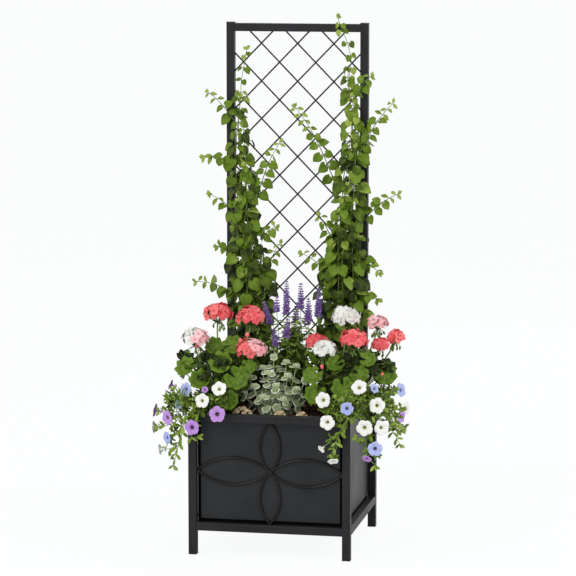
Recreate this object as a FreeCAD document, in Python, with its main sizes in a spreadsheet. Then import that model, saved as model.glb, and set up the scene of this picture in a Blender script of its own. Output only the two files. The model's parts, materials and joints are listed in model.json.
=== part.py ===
import FreeCAD, Part
import math
import os
import Sketcher
from FreeCAD import Placement, Rotation, Vector

# A square planter box of 20 mm steel tube with sheet panels, a rod flower on its
# front, a plastic liner full of soil, a bolt-on trellis behind and the planting
# that grows in it.
#
# Millimetres. X runs right, Y runs back, Z runs up. The origin is on the floor,
# under the centre of the box. The front of the box faces -Y.

SIZES = [
    # The tube frame of the box.
    ("box_width", 400, "outside width of the frame"),
    ("box_depth", 400, "outside depth of the frame"),
    ("rim_height", 350, "top of the top rails above the floor"),
    ("leg_height", 60, "underside of the bottom rails above the floor"),
    ("tube_size", 20, "side of the square tube"),
    ("tube_wall", 1.5, "wall of the square tube"),
    ("tube_corner", 1.5, "outside corner radius of the tube"),
    ("bar_spacing", 180, "distance between the two bars under the liner"),
    ("glide_flange", 3, "thickness of a foot glide under its leg"),
    ("glide_plug", 14, "length of a glide's plug inside the leg"),
    ("cap_flange", 2, "thickness of a cap on top of a tube"),
    ("cap_plug", 12, "length of a cap's plug inside the tube"),
    ("plug_clearance", 0.15, "gap between a plug and the tube round it"),
    # The sheet panels and the liner.
    ("panel_thickness", 2, "thickness of a sheet panel"),
    ("panel_gap", 8, "shadow gap beside and below a panel"),
    ("liner_wall", 2.5, "wall of the plastic liner"),
    ("liner_floor", 3, "floor of the plastic liner"),
    ("liner_clearance", 0.5, "gap between the liner and what stands round it"),
    ("liner_drop", 4, "top of the liner below the rim"),
    ("liner_sink", 2, "liner and its bars below the tops of the bottom rails"),
    ("liner_corner", 2, "outside radius of the liner's upright corners"),
    ("drain_radius", 6, "radius of a drain hole"),
    ("drain_spacing", 110, "distance of the outer drain holes from the middle"),
    # The rod flower on the front panel.
    ("rod_radius", 3, "radius of the bent rod"),
    ("rod_clearance", 0.2, "gap between the rod and the panel"),
    ("side_petal_bulge", 33, "rise of each arc of the left and right petals"),
    ("upright_petal_bulge", 25, "rise of each arc of the top and bottom petals"),
    ("flower_rise", 3, "middle of the flower above the middle of its opening"),
    ("boss_radius", 7, "radius of the boss in the middle of the flower"),
    ("boss_height", 8, "height of the boss above the panel"),
    # The trellis.
    ("trellis_height", 1280, "top of the trellis above the floor"),
    ("trellis_step", 3, "top rail of the trellis below the tops of its uprights"),
    ("wire_radius", 2, "radius of a lattice wire"),
    ("wire_clearance", 0.1, "gap between the two layers of wire"),
    ("lattice_width", 92, "width of one lattice diamond"),
    ("lattice_height", 94.5, "height of one lattice diamond"),
    ("first_crossing", 30, "highest wire crossing below the trellis top rail"),
    ("shortest_wire", 30, "shorter wires in the corners are left out"),
    # The bolts that hold the trellis.
    ("bolt_radius", 3, "radius of the bolt shank"),
    ("bolt_length", 28, "length of the bolt shank"),
    ("bolt_clearance", 0.3, "gap between the shank and the hole in the rail"),
    ("bolt_head_radius", 5.5, "radius of the button head"),
    ("bolt_head_height", 3.2, "height of the button head"),
    ("bolt_socket", 2, "half width across corners of the hexagon socket"),
    ("nut_radius", 4.5, "outside radius of a rivet nut"),
    ("nut_length", 13, "length of a rivet nut"),
    ("nut_bulge", 1.4, "how far a rivet nut bulges behind the tube wall"),
    ("nut_clearance", 0.05, "gap round the sleeve and the thread of a rivet nut"),
    # The bed.
    ("soil_drop", 14, "top of the soil below the rim"),
    ("mulch_depth", 6, "depth of the bark mulch on the soil"),
    ("soft_clearance", 0.3, "gap between something soft and its neighbour"),
    # The planting.
    ("stalk_radius", 2.2, "radius of a geranium flower stalk"),
    ("dome_dip", 18, "how far a flower dome reaches round below its middle, degrees"),
    ("spike_radius", 9, "radius at the foot of a salvia flower spike"),
    ("spike_tip", 3, "radius at the tip of a salvia flower spike"),
    ("spike_stem", 1.4, "radius of a salvia stem"),
    ("petunia_radius", 20, "radius of an open petunia"),
    ("petunia_throat", 3, "radius of a petunia's throat"),
    ("petunia_depth", 20, "depth of a petunia's trumpet"),
    ("rim_share", 12, "strip above the rim that the trailing plants grow over"),
    ("trailing_height", 424, "top of the trailing plants above the floor"),
    ("middle_half_width", 84, "half width of the bed between the two geraniums"),
    ("vine_line", 95, "front of the strip of bed that the vines grow in"),
    ("shoot_radius", 26, "radius of a leafy side shoot at its foot"),
    ("shoot_tip", 9, "radius of a leafy side shoot at its tip"),
]

doc = FreeCAD.newDocument("PlanterWithTrellis")
sheet = doc.addObject("Spreadsheet::Sheet", "Sizes")
for row, (name, value, meaning) in enumerate(SIZES, start=1):
    sheet.set(f"A{row}", name)
    sheet.set(f"B{row}", str(value))
    sheet.set(f"C{row}", meaning)
    sheet.setAlias(f"B{row}", name)
doc.recompute()

# Places that several pieces share, as expressions of the sheet's sizes.
S = "Sizes."
HALF_TUBE = f"{S}tube_size / 2"
RIGHT_POST = f"({S}box_width / 2 - {HALF_TUBE})"
BACK_POST = f"({S}box_depth / 2 - {HALF_TUBE})"
INSIDE_WIDTH = f"({S}box_width - 2 * {S}tube_size)"
INSIDE_DEPTH = f"({S}box_depth - 2 * {S}tube_size)"
BOTTOM_RAIL = f"({S}leg_height + {HALF_TUBE})"
TOP_RAIL = f"({S}rim_height - {HALF_TUBE})"
OPENING_FOOT = f"({S}leg_height + {S}tube_size)"
OPENING_TOP = f"({S}rim_height - {S}tube_size)"
LINER_FOOT = f"({OPENING_FOOT} - {S}liner_sink)"
UPRIGHT_X = f"({S}box_width / 2 - 1.5 * {S}tube_size)"
UPRIGHT_Y = f"({S}box_depth / 2 - 1.5 * {S}tube_size)"
LATTICE_TOP = f"({S}trellis_height - {S}trellis_step - {S}tube_size)"
MULCH_TOP = f"({S}rim_height - {S}soil_drop + {S}mulch_depth)"

ALONG_X = Rotation(Vector(0, 1, 0), 90)
ALONG_Y = Rotation(Vector(1, 0, 0), -90)
ALONG_Z = Rotation()
FACING_FRONT = Rotation(Vector(1, 0, 0), 90)
# Turn a ball so that the seam of its surface faces the back or the right, clear of the cuts.
SEAM_BEHIND = Rotation(Vector(0, 0, 1), 90)
SEAM_BESIDE = Rotation()

NODES = []


def size(name):
    """A size from the sheet, in millimetres."""
    return float(sheet.get(name))


def bind(piece, **expressions):
    """Ties properties of a piece to the sheet's sizes."""
    for prop, expression in expressions.items():
        piece.setExpression(prop, str(expression))


def put(piece, x=0, y=0, z=0, rotation=ALONG_Z):
    """Gives a piece its turn, and ties its place to the sheet's sizes."""
    piece.Placement = Placement(Vector(), rotation)
    for axis, place in (("x", x), ("y", y), ("z", z)):
        piece.setExpression(f"Placement.Base.{axis}", str(place))
    return piece


def node(piece, name):
    """Marks a piece as a finished sub-part of the planter."""
    piece.Label = name
    NODES.append(piece)
    return piece


def part(kind, name, **expressions):
    """A primitive solid with its sizes tied to the sheet."""
    piece = doc.addObject(f"Part::{kind}", name)
    bind(piece, **expressions)
    return piece


def centred_box(name, width, depth, height, x, y, z):
    """A box whose x and y are its middle and whose z is its foot."""
    box = part("Box", name, Length=width, Width=depth, Height=height)
    return put(box, f"{x} - ({width}) / 2", f"{y} - ({depth}) / 2", z)


def cut(base, tool, name):
    piece = doc.addObject("Part::Cut", name)
    piece.Base = base
    piece.Tool = tool
    return piece


def common(base, tool, name):
    piece = doc.addObject("Part::Common", name)
    piece.Base = base
    piece.Tool = tool
    return piece


def fuse(pieces, name):
    piece = doc.addObject("Part::MultiFuse", name)
    piece.Shapes = pieces
    return piece


def group(pieces, name):
    piece = doc.addObject("Part::Compound", name)
    piece.Links = pieces
    return piece


# ---------------------------------------------------------------- sketched pieces


def sketch_on(body, plane, name):
    """A sketch on one of a body's own origin planes."""
    sketch = body.newObject("Sketcher::SketchObject", name)
    planes = [item for item in body.Origin.OriginFeatures if item.Role == plane]
    sketch.AttachmentSupport = (planes[0], "")
    sketch.MapMode = "FlatFace"
    return sketch


def rectangle(sketch, width, height):
    """A rectangle round the sketch's origin."""
    corners = [Vector(-9, -9), Vector(9, -9), Vector(9, 9), Vector(-9, 9)]
    first = sketch.GeometryCount
    for number in range(4):
        line = Part.LineSegment(corners[number], corners[(number + 1) % 4])
        sketch.addGeometry(line, False)
    for number in range(4):
        following = first + (number + 1) % 4
        sketch.addConstraint(Sketcher.Constraint("Coincident", first + number, 2, following, 1))
        level = "Horizontal" if number % 2 == 0 else "Vertical"
        sketch.addConstraint(Sketcher.Constraint(level, first + number))
    middle = Sketcher.Constraint("Symmetric", first, 1, first + 2, 1, -1, 1)
    sketch.addConstraint(middle)
    across = sketch.addConstraint(Sketcher.Constraint("DistanceX", first, 1, first, 2, 18.0))
    upward = sketch.addConstraint(Sketcher.Constraint("DistanceY", first + 1, 1, first + 1, 2, 18.0))
    sketch.setExpression(f"Constraints[{across}]", width)
    sketch.setExpression(f"Constraints[{upward}]", height)


def circle(sketch, radius, x, y):
    """A circle centred at x, y in the sketch."""
    ring = sketch.addGeometry(Part.Circle(Vector(1, 1, 0), Vector(0, 0, 1), 1), False)
    bound = sketch.addConstraint(Sketcher.Constraint("Radius", ring, 1.0))
    sketch.setExpression(f"Constraints[{bound}]", radius)
    for kind, place in (("DistanceX", x), ("DistanceY", y)):
        bound = sketch.addConstraint(Sketcher.Constraint(kind, -1, 1, ring, 3, 1.0))
        sketch.setExpression(f"Constraints[{bound}]", str(place))


def pad(body, sketch, length, name):
    feature = body.newObject("PartDesign::Pad", name)
    feature.Profile = sketch
    bind(feature, Length=length)
    return feature


def pocket(body, sketch, name, depth=None, both_ways=False, backwards=False):
    """Cuts a sketch out of a body, all the way through unless a depth is given."""
    feature = body.newObject("PartDesign::Pocket", name)
    feature.Profile = sketch
    feature.Midplane = both_ways
    feature.Reversed = backwards
    if depth is None:
        feature.Type = "ThroughAll"
    else:
        bind(feature, Length=depth)
    return feature


def upright_edges(shape, half_width, half_depth):
    """Names of the outer corner edges that run along a body's own Z."""
    names = []
    for number, edge in enumerate(shape.Edges, start=1):
        ends = [vertex.Point for vertex in edge.Vertexes]
        if len(ends) != 2 or abs(ends[0].z - ends[1].z) < 1:
            continue
        if all(abs(abs(end.x) - half_width) < 0.01 and abs(abs(end.y) - half_depth) < 0.01 for end in ends):
            names.append(f"Edge{number}")
    return names


def rounded(body, feature, radius, width, depth, name):
    """Rounds the four upright corners of a padded rectangle."""
    doc.recompute()
    fillet = body.newObject("PartDesign::Fillet", name)
    fillet.Base = (feature, upright_edges(feature.Shape, width / 2, depth / 2))
    bind(fillet, Radius=radius)
    return fillet


def tube(name, length, x, y, z, rotation=ALONG_Z, holes=(), hole_radius="", far_wall_only=False):
    """A square tube that starts at x, y, z; holes are distances along it, bored along Y."""
    body = doc.addObject("PartDesign::Body", name)
    section = sketch_on(body, "XY_Plane", f"{name}_section")
    rectangle(section, f"{S}tube_size", f"{S}tube_size")
    inside = f"{S}tube_size - 2 * {S}tube_wall"
    rectangle(section, inside, inside)
    wall = pad(body, section, length, f"{name}_wall")
    rounded(body, wall, f"{S}tube_corner", size("tube_size"), size("tube_size"), f"{name}_corners")
    if holes:
        doc.recompute()
        drilling = sketch_on(body, "XZ_Plane", f"{name}_drilling")
        for distance in holes:
            circle(drilling, hole_radius, 0, distance)
        if far_wall_only:
            pocket(body, drilling, f"{name}_holes", depth=f"{S}tube_size")
        else:
            pocket(body, drilling, f"{name}_holes", both_ways=True)
    put(body, x, y, z, rotation)
    return node(body, name)


def plate(name, width, height, thickness, x, y, z, rotation):
    """A flat sheet whose middle is at x, y, z, lying in the turned XY plane."""
    body = doc.addObject("PartDesign::Body", name)
    outline = sketch_on(body, "XY_Plane", f"{name}_outline")
    rectangle(outline, width, height)
    pad(body, outline, thickness, f"{name}_sheet")
    put(body, x, y, z, rotation)
    return node(body, name)


# ------------------------------------------------------------------ the box frame


def build_box_frame():
    """Four posts, eight rails and the two bars that the liner stands on."""
    post_length = f"{S}rim_height - {S}glide_flange - {S}cap_flange"
    for front_or_rear, side_y in (("front", -1), ("rear", 1)):
        for left_or_right, side_x in (("left", -1), ("right", 1)):
            name = f"{front_or_rear}_{left_or_right}_post"
            x = f"{side_x} * {RIGHT_POST}"
            y = f"{side_y} * {BACK_POST}"
            tube(name, post_length, x, y, f"{S}glide_flange")
    bolt_places = (HALF_TUBE, f"{INSIDE_WIDTH} - {HALF_TUBE}")
    for level, z in (("bottom", BOTTOM_RAIL), ("top", TOP_RAIL)):
        start_x = f"-{INSIDE_WIDTH} / 2"
        start_y = f"-{INSIDE_DEPTH} / 2"
        tube(f"front_{level}_rail", INSIDE_WIDTH, start_x, f"-{BACK_POST}", z, ALONG_X)
        tube(f"rear_{level}_rail", INSIDE_WIDTH, start_x, BACK_POST, z, ALONG_X,
             holes=bolt_places, hole_radius=f"{S}bolt_radius + {S}bolt_clearance")
        tube(f"left_{level}_rail", INSIDE_DEPTH, f"-{RIGHT_POST}", start_y, z, ALONG_Y)
        tube(f"right_{level}_rail", INSIDE_DEPTH, RIGHT_POST, start_y, z, ALONG_Y)
    for left_or_right, side in (("left", -1), ("right", 1)):
        tube(f"liner_bar_{left_or_right}", INSIDE_DEPTH, f"{side} * {S}bar_spacing / 2",
             f"-{INSIDE_DEPTH} / 2", f"{BOTTOM_RAIL} - {S}liner_sink", ALONG_Y)


def tube_plugs(name, places, flange, plug, z, pointing_up):
    """Square plastic plugs in the ends of tubes, each with a flange over the end."""
    plug_width = f"{S}tube_size - 2 * {S}tube_wall - 2 * {S}plug_clearance"
    plugs = []
    for number, (x, y) in enumerate(places, start=1):
        lid = centred_box(f"{name}_lid_{number}", f"{S}tube_size", f"{S}tube_size", flange, x, y, z)
        foot = f"{z} + {flange}" if pointing_up else f"{z} - {plug}"
        stub = centred_box(f"{name}_stub_{number}", plug_width, plug_width, plug, x, y, foot)
        plugs.append(fuse([lid, stub], f"{name}_{number}"))
    return node(group(plugs, name), name)


def build_glides_and_caps():
    corners = []
    for side_x in (-1, 1):
        for side_y in (-1, 1):
            corners.append((f"{side_x} * {RIGHT_POST}", f"{side_y} * {BACK_POST}"))
    tube_plugs("foot_glides", corners, f"{S}glide_flange", f"{S}glide_plug", "0", True)
    tube_plugs("post_caps", corners, f"{S}cap_flange", f"{S}cap_plug",
               f"({S}rim_height - {S}cap_flange)", False)
    uprights = [(f"-{UPRIGHT_X}", UPRIGHT_Y), (UPRIGHT_X, UPRIGHT_Y)]
    tube_plugs("upright_caps", uprights, f"{S}cap_flange", f"{S}cap_plug",
               f"({S}trellis_height - {S}cap_flange)", False)


# ----------------------------------------------------------- panels and the liner


def build_panels():
    """Four sheets in line with the inner faces of the rails, hung from the top rails."""
    height = f"({OPENING_TOP} - {OPENING_FOOT} - {S}panel_gap)"
    middle = f"({OPENING_TOP} + {OPENING_FOOT} + {S}panel_gap) / 2"
    width = f"{INSIDE_WIDTH} - 2 * {S}panel_gap"
    depth = f"{INSIDE_DEPTH} - 2 * {S}panel_gap"
    face_x = f"{INSIDE_WIDTH} / 2"
    face_y = f"{INSIDE_DEPTH} / 2"
    sheet_metal = f"{S}panel_thickness"
    facing_right = Rotation(Vector(1, 1, 1), 120)
    plate("front_panel", width, height, sheet_metal, 0, f"-{face_y}", middle, FACING_FRONT)
    plate("rear_panel", width, height, sheet_metal, 0, f"{face_y} + {sheet_metal}", middle, FACING_FRONT)
    plate("left_panel", depth, height, sheet_metal, f"-{face_x} - {sheet_metal}", 0, middle, facing_right)
    plate("right_panel", depth, height, sheet_metal, face_x, 0, middle, facing_right)


LINER_WIDTH = f"({INSIDE_WIDTH} - 2 * {S}liner_clearance)"
LINER_FRONT = f"(-{INSIDE_DEPTH} / 2 + {S}liner_clearance)"
LINER_BACK = f"({INSIDE_DEPTH} / 2 - {S}tube_size - {S}liner_clearance)"
LINER_DEPTH = f"({LINER_BACK} - {LINER_FRONT})"
LINER_MIDDLE = f"(({LINER_BACK} + {LINER_FRONT}) / 2)"


def build_liner():
    """An open plastic tub on the bars, with five drain holes in its floor."""
    body = doc.addObject("PartDesign::Body", "liner")
    outline = sketch_on(body, "XY_Plane", "liner_outline")
    rectangle(outline, LINER_WIDTH, LINER_DEPTH)
    height = f"({S}rim_height - {S}liner_drop - {LINER_FOOT})"
    block = pad(body, outline, height, "liner_block")
    doc.recompute()
    box = block.Shape.BoundBox
    rounded(body, block, f"{S}liner_corner", box.XLength, box.YLength, "liner_corners")
    doc.recompute()
    hollow_outline = sketch_on(body, "XY_Plane", "liner_hollow_outline")
    rectangle(hollow_outline, f"{LINER_WIDTH} - 2 * {S}liner_wall", f"{LINER_DEPTH} - 2 * {S}liner_wall")
    hollow_outline.setExpression("AttachmentOffset.Base.z", f"{S}liner_floor")
    pocket(body, hollow_outline, "liner_hollow", backwards=True)
    doc.recompute()
    drains = sketch_on(body, "XY_Plane", "liner_drain_outline")
    circle(drains, f"{S}drain_radius", 0, 0)
    for side in (-1, 1):
        circle(drains, f"{S}drain_radius", f"{side} * {S}drain_spacing", 0)
        circle(drains, f"{S}drain_radius", 0, f"{side} * {S}drain_spacing")
    pocket(body, drains, "liner_drains", both_ways=True)
    put(body, 0, LINER_MIDDLE, LINER_FOOT)
    return node(body, "liner")


# ------------------------------------------------------------------ the rod flower


def build_rod_flower():
    """Four petals of two bent rods each, which meet at a boss on the front panel."""
    opening_middle = f"(({OPENING_TOP} + {OPENING_FOOT}) / 2)"
    middle = f"({opening_middle} + {S}flower_rise)"
    panel_face = f"(-{INSIDE_DEPTH} / 2 - {S}panel_thickness)"
    rod_line = f"({panel_face} - {S}rod_radius - {S}rod_clearance)"
    side_length = f"({INSIDE_WIDTH} / 2)"
    top_length = f"({OPENING_TOP} - {middle})"
    bottom_length = f"({middle} - {OPENING_FOOT})"

    boss = part("Cylinder", "flower_boss", Radius=f"{S}boss_radius", Height=f"{S}boss_height")
    node(put(boss, 0, panel_face, middle, FACING_FRONT), "flower_boss")
    opening = centred_box("flower_opening", INSIDE_WIDTH, f"{S}box_depth / 2",
                          f"{OPENING_TOP} - {OPENING_FOOT}", 0, f"-{S}box_depth / 2", OPENING_FOOT)

    petals = [
        ("right", 0, side_length, f"{S}side_petal_bulge"),
        ("top", 90, top_length, f"{S}upright_petal_bulge"),
        ("left", 180, side_length, f"{S}side_petal_bulge"),
        ("bottom", 270, bottom_length, f"{S}upright_petal_bulge"),
    ]
    for name, turn, length, bulge in petals:
        radius = f"(({length})^2 / 4 + {bulge}^2) / (2 * {bulge})"
        along = (round(math.cos(math.radians(turn))), round(math.sin(math.radians(turn))))
        across = (-along[1], along[0])
        arcs = []
        for side in (1, -1):
            arc = part("Torus", f"{name}_arc_{len(arcs)}", Radius1=radius, Radius2=f"{S}rod_radius")
            arc.Angle3 = 180
            back = f"{-side} * ({radius} - {bulge})"
            x = f"{along[0]} * {length} / 2 + {across[0]} * {back}"
            z = f"{middle} + {along[1]} * {length} / 2 + {across[1]} * {back}"
            start = turn if side == 1 else turn + 180
            swing = FACING_FRONT.multiply(Rotation(Vector(0, 0, 1), start))
            arcs.append(put(arc, x, rod_line, z, swing))
        quarter = part("Box", f"{name}_quarter", Length=f"{S}box_width", Width=f"{S}box_depth",
                       Height=f"{S}box_width")
        put(quarter, 0, f"-{S}box_depth", middle, Rotation(Vector(0, -1, 0), turn - 45))
        rods = common(fuse(arcs, f"{name}_rods"), opening, f"{name}_between_rails")
        sector = common(rods, quarter, f"{name}_sector")
        node(cut(sector, boss, f"{name}_petal"), f"{name}_petal")


# --------------------------------------------------------------------- the trellis


def build_trellis_frame():
    """Two uprights bolted inside the rear corners, and two rails between them."""
    foot = f"{S}leg_height"
    length = f"({S}trellis_height - {S}cap_flange - {foot})"
    bolt_heights = (f"{BOTTOM_RAIL} - {foot}", f"{TOP_RAIL} - {foot}")
    for left_or_right, side in (("left", -1), ("right", 1)):
        tube(f"trellis_{left_or_right}_upright", length, f"{side} * {UPRIGHT_X}", UPRIGHT_Y, foot,
             holes=bolt_heights, hole_radius=f"{S}nut_radius + {S}nut_clearance", far_wall_only=True)
    span = f"({INSIDE_WIDTH} - 2 * {S}tube_size)"
    top = f"{LATTICE_TOP} + {HALF_TUBE}"
    tube("trellis_top_rail", span, f"-{span} / 2", UPRIGHT_Y, top, ALONG_X)
    tube("trellis_bottom_rail", span, f"-{span} / 2", UPRIGHT_Y, TOP_RAIL, ALONG_X)


def lattice_layer(name, slope_sign, layer_offset):
    """Straight wires that all rise the same way, trimmed to the trellis frame."""
    half_span = size("box_width") / 2 - 2 * size("tube_size")
    lattice_top = size("trellis_height") - size("trellis_step") - size("tube_size")
    lattice_foot = size("rim_height")
    pitch = size("lattice_height")
    rise = half_span * pitch / size("lattice_width")
    crossing = lattice_top - size("first_crossing")
    angle = math.degrees(math.atan2(pitch, size("lattice_width")))
    lean = Rotation(Vector(0, 1, 0), slope_sign * (90 - angle))
    reach = math.hypot(half_span, rise) + 4 * size("wire_radius")
    corner = size("shortest_wire") * math.sin(math.radians(angle))

    wires = []
    step = math.ceil((lattice_top - crossing + rise) / pitch)
    while crossing + step * pitch + rise > lattice_foot + corner:
        if crossing + step * pitch - rise < lattice_top - corner:
            wire = part("Cylinder", f"{name}_{len(wires)}", Radius=f"{S}wire_radius", Height=2 * reach)
            start = lean.multVec(Vector(0, 0, -reach))
            middle = f"{LATTICE_TOP} - {S}first_crossing + {step} * {S}lattice_height"
            wires.append(put(wire, start.x, f"{UPRIGHT_Y} + {layer_offset}", f"{middle} + {start.z}", lean))
        step -= 1
    frame_opening = centred_box(f"{name}_opening", f"{INSIDE_WIDTH} - 2 * {S}tube_size", f"{S}tube_size",
                                f"{LATTICE_TOP} - {S}rim_height", 0, UPRIGHT_Y, f"{S}rim_height")
    return node(common(group(wires, f"{name}_uncut"), frame_opening, name), name)


def build_lattice():
    half_layer = f"({S}wire_radius + {S}wire_clearance / 2)"
    lattice_layer("rising_wires", 1, f"-{half_layer}")
    lattice_layer("falling_wires", -1, half_layer)


def build_trellis_bolts():
    """Button-head bolts through the rear rails into rivet nuts in the uprights."""
    bolts = []
    nuts = []
    rear_face = f"{S}box_depth / 2"
    upright_back = f"{INSIDE_DEPTH} / 2"
    for side in (-1, 1):
        for z in (BOTTOM_RAIL, TOP_RAIL):
            x = f"{side} * {UPRIGHT_X}"
            tag = len(bolts)
            shank = part("Cylinder", f"shank_{tag}", Radius=f"{S}bolt_radius", Height=f"{S}bolt_length")
            put(shank, x, rear_face, z, FACING_FRONT)
            head = part("Cone", f"head_{tag}", Radius1=f"{S}bolt_head_radius", Radius2=f"{S}bolt_radius",
                        Height=f"{S}bolt_head_height")
            put(head, x, rear_face, z, ALONG_Y)
            socket = part("Prism", f"socket_{tag}", Circumradius=f"{S}bolt_socket",
                          Height=f"{S}bolt_head_height")
            socket.Polygon = 6
            put(socket, x, f"{rear_face} + {S}bolt_head_height / 3", z, ALONG_Y)
            bolts.append(cut(fuse([shank, head], f"bolt_blank_{tag}"), socket, f"bolt_{tag}"))

            sleeve = part("Cylinder", f"sleeve_{tag}", Radius=f"{S}nut_radius", Height=f"{S}nut_length")
            put(sleeve, x, upright_back, z, FACING_FRONT)
            bulge = part("Cone", f"bulge_{tag}", Radius1=f"{S}nut_radius + {S}nut_bulge",
                         Radius2=f"{S}nut_radius", Height=f"{S}nut_length / 3")
            put(bulge, x, f"{upright_back} - {S}tube_wall", z, FACING_FRONT)
            thread = part("Cylinder", f"thread_{tag}", Radius=f"{S}bolt_radius + {S}nut_clearance",
                          Height=f"{S}nut_length")
            put(thread, x, upright_back, z, FACING_FRONT)
            nuts.append(cut(fuse([sleeve, bulge], f"nut_blank_{tag}"), thread, f"nut_{tag}"))
    node(group(bolts, "trellis_bolts"), "trellis_bolts")
    node(group(nuts, "rivet_nuts"), "rivet_nuts")


# ------------------------------------------------------------- the bed and planting


def build_bed():
    """Soil in the liner, and bark mulch on the soil."""
    gap = f"2 * {S}liner_wall - 2 * {S}soft_clearance"
    width = f"({LINER_WIDTH} - {gap})"
    depth = f"({LINER_DEPTH} - {gap})"
    soil_foot = f"({LINER_FOOT} + {S}liner_floor)"
    soil_top = f"({S}rim_height - {S}soil_drop)"
    soil = centred_box("potting_soil", width, depth, f"{soil_top} - {soil_foot}", 0, LINER_MIDDLE, soil_foot)
    node(soil, "potting_soil")
    mulch = centred_box("bark_mulch", width, depth, f"{S}mulch_depth", 0, LINER_MIDDLE, soil_top)
    node(mulch, "bark_mulch")


def sphere(name, radius, x, y, z, lowest=None, seam=SEAM_BEHIND):
    """A ball, or a dome whose flat underside is at the given latitude."""
    ball = part("Sphere", name, Radius=radius)
    if lowest is not None:
        bind(ball, Angle1=lowest)
    return put(ball, x, y, z, seam)


def from_anchor(anchor, offsets):
    """Three places measured from an anchor's three places."""
    return [f"{place} + ({offset})" for place, offset in zip(anchor, offsets)]


def clump(name, anchor, balls, seam=SEAM_BEHIND):
    """A mass of foliage: balls of (x, y, z, radius) grown together, measured from its anchor."""
    spheres = []
    for *offsets, radius in balls:
        place = from_anchor(anchor, offsets)
        spheres.append(sphere(f"{name}_ball_{len(spheres)}", radius, *place, seam=seam))
    return spheres


def keep_clear(mass, zones, name):
    """Cuts every zone out of a mass."""
    for number, zone in enumerate(zones, start=1):
        mass = cut(mass, zone, f"{name}_clear_{number}")
    return mass


def pointing(direction):
    """The turn that takes a piece's own Z to a direction."""
    return Rotation(Vector(0, 0, 1), direction)


def build_growing_zones():
    """Solids that keep the plants out of the box, off the trellis and off each other."""
    far = f"(2 * {S}box_width)"
    tall = f"(2 * {S}trellis_height)"
    clear = f"{S}soft_clearance"
    outside = centred_box("box_outside", f"{S}box_width + 2 * {clear}", f"{S}box_depth + 2 * {clear}",
                          f"{S}rim_height + {clear}", 0, 0, 0)
    bed = centred_box("bed_inside", f"{LINER_WIDTH} - 2 * {S}liner_wall - 2 * {clear}",
                      f"{LINER_DEPTH} - 2 * {S}liner_wall - 2 * {clear}", f"{S}rim_height", 0, LINER_MIDDLE,
                      f"{MULCH_TOP} + {clear}")
    inner_width = f"({S}box_width - 2 * {S}rim_share)"
    inner_depth = f"({S}box_depth - 2 * {S}rim_share)"
    low = centred_box("low_outside", far, far, f"{S}trailing_height + {clear}", 0, 0, 0)
    inner = centred_box("inner_bed", f"{inner_width} - 2 * {clear}", f"{inner_depth} - 2 * {clear}", tall,
                        0, 0, 0)
    front_face = f"({UPRIGHT_Y} - {HALF_TUBE} - {clear})"
    return {
        "box": cut(outside, bed, "box_zone"),
        "inner": centred_box("inner_zone", inner_width, inner_depth, tall, 0, 0, 0),
        "trailing": cut(low, inner, "trailing_zone"),
        "above": centred_box("above_trailing", far, far, tall, 0, 0, f"{S}trailing_height"),
        "middle": centred_box("middle_zone", f"2 * {S}middle_half_width", far, tall, 0, 0, 0),
        "left": centred_box("left_of_middle", far, far, tall,
                            f"-({S}middle_half_width - {clear}) - {far} / 2", 0, 0),
        "right": centred_box("right_of_middle", far, far, tall,
                             f"{S}middle_half_width - {clear} + {far} / 2", 0, 0),
        "before_salvia": centred_box("before_salvia", far, far, tall, 0, f"{SALVIA_LINE} - {far} / 2", 0),
        "after_silver": centred_box("after_silver", far, far, tall, 0,
                                    f"{SALVIA_LINE} - {clear} + {far} / 2", 0),
        "vines": centred_box("vine_zone", far, far, tall, 0, f"{S}vine_line + {far} / 2", 0),
        "before_vines": centred_box("before_vines", far, far, tall, 0,
                                    f"{S}vine_line + {clear} - {far} / 2", 0),
        "trellis": centred_box("trellis_zone", far, far, tall, 0, f"{front_face} + {far} / 2", 0),
        "before_back": centred_box("before_back", far, far, tall, 0,
                                   f"{INSIDE_DEPTH} / 2 + {clear} - {far} / 2", 0),
    }


SALVIA_LINE = f"(-{S}box_depth / 2 + 152)"
LEFT_GERANIUM = (f"-{S}box_width / 2 + 50", f"-{S}box_depth / 2 + 110", MULCH_TOP)
RIGHT_GERANIUM = (f"{S}box_width / 2 - 40", f"-{S}box_depth / 2 + 110", MULCH_TOP)
SILVER_PLANT = ("0", f"-{S}box_depth / 2 + 95", MULCH_TOP)
SALVIA = ("15", "25", MULCH_TOP)
LEFT_CORNER = (f"-{S}box_width / 2", f"-{S}box_depth / 2", f"{S}rim_height")
RIGHT_CORNER = (f"{S}box_width / 2", f"-{S}box_depth / 2", f"{S}rim_height")
LEFT_VINE = (f"-{UPRIGHT_X}", f"{UPRIGHT_Y} - {HALF_TUBE}", f"{S}rim_height")
RIGHT_VINE = (UPRIGHT_X, f"{UPRIGHT_Y} - {HALF_TUBE}", f"{S}rim_height")

GERANIUM_LEAVES = {
    "left": [(0, 0, 58, 68), (-50, 30, 88, 50), (35, 50, 98, 62), (-10, 110, 78, 70), (38, -35, 50, 38),
             (25, -20, 113, 38), (-60, 5, 98, 32)],
    "right": [(0, 0, 58, 66), (65, 30, 98, 45), (-45, 30, 83, 58), (10, 110, 78, 70), (-45, -45, 53, 38),
              (85, 40, 104, 36), (20, -10, 108, 38)],
}
# Flower heads of (colour, x, y, z, radius), measured from their own plant's anchor.
GERANIUM_HEADS = {
    "left": [("coral", -11, 50, 211, 39), ("coral", 69, 70, 203, 38), ("pink", -57, 5, 156, 37),
             ("coral", 84, 0, 131, 42)],
    "right": [("white", -8, 100, 204, 40), ("coral", 26, 20, 161, 38), ("coral", -75, 70, 145, 30),
              ("white", -41, -5, 139, 34), ("pink", 72, 95, 193, 28), ("coral", 85, 50, 148, 23),
              ("coral", 117, 90, 161, 25)],
}
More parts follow.
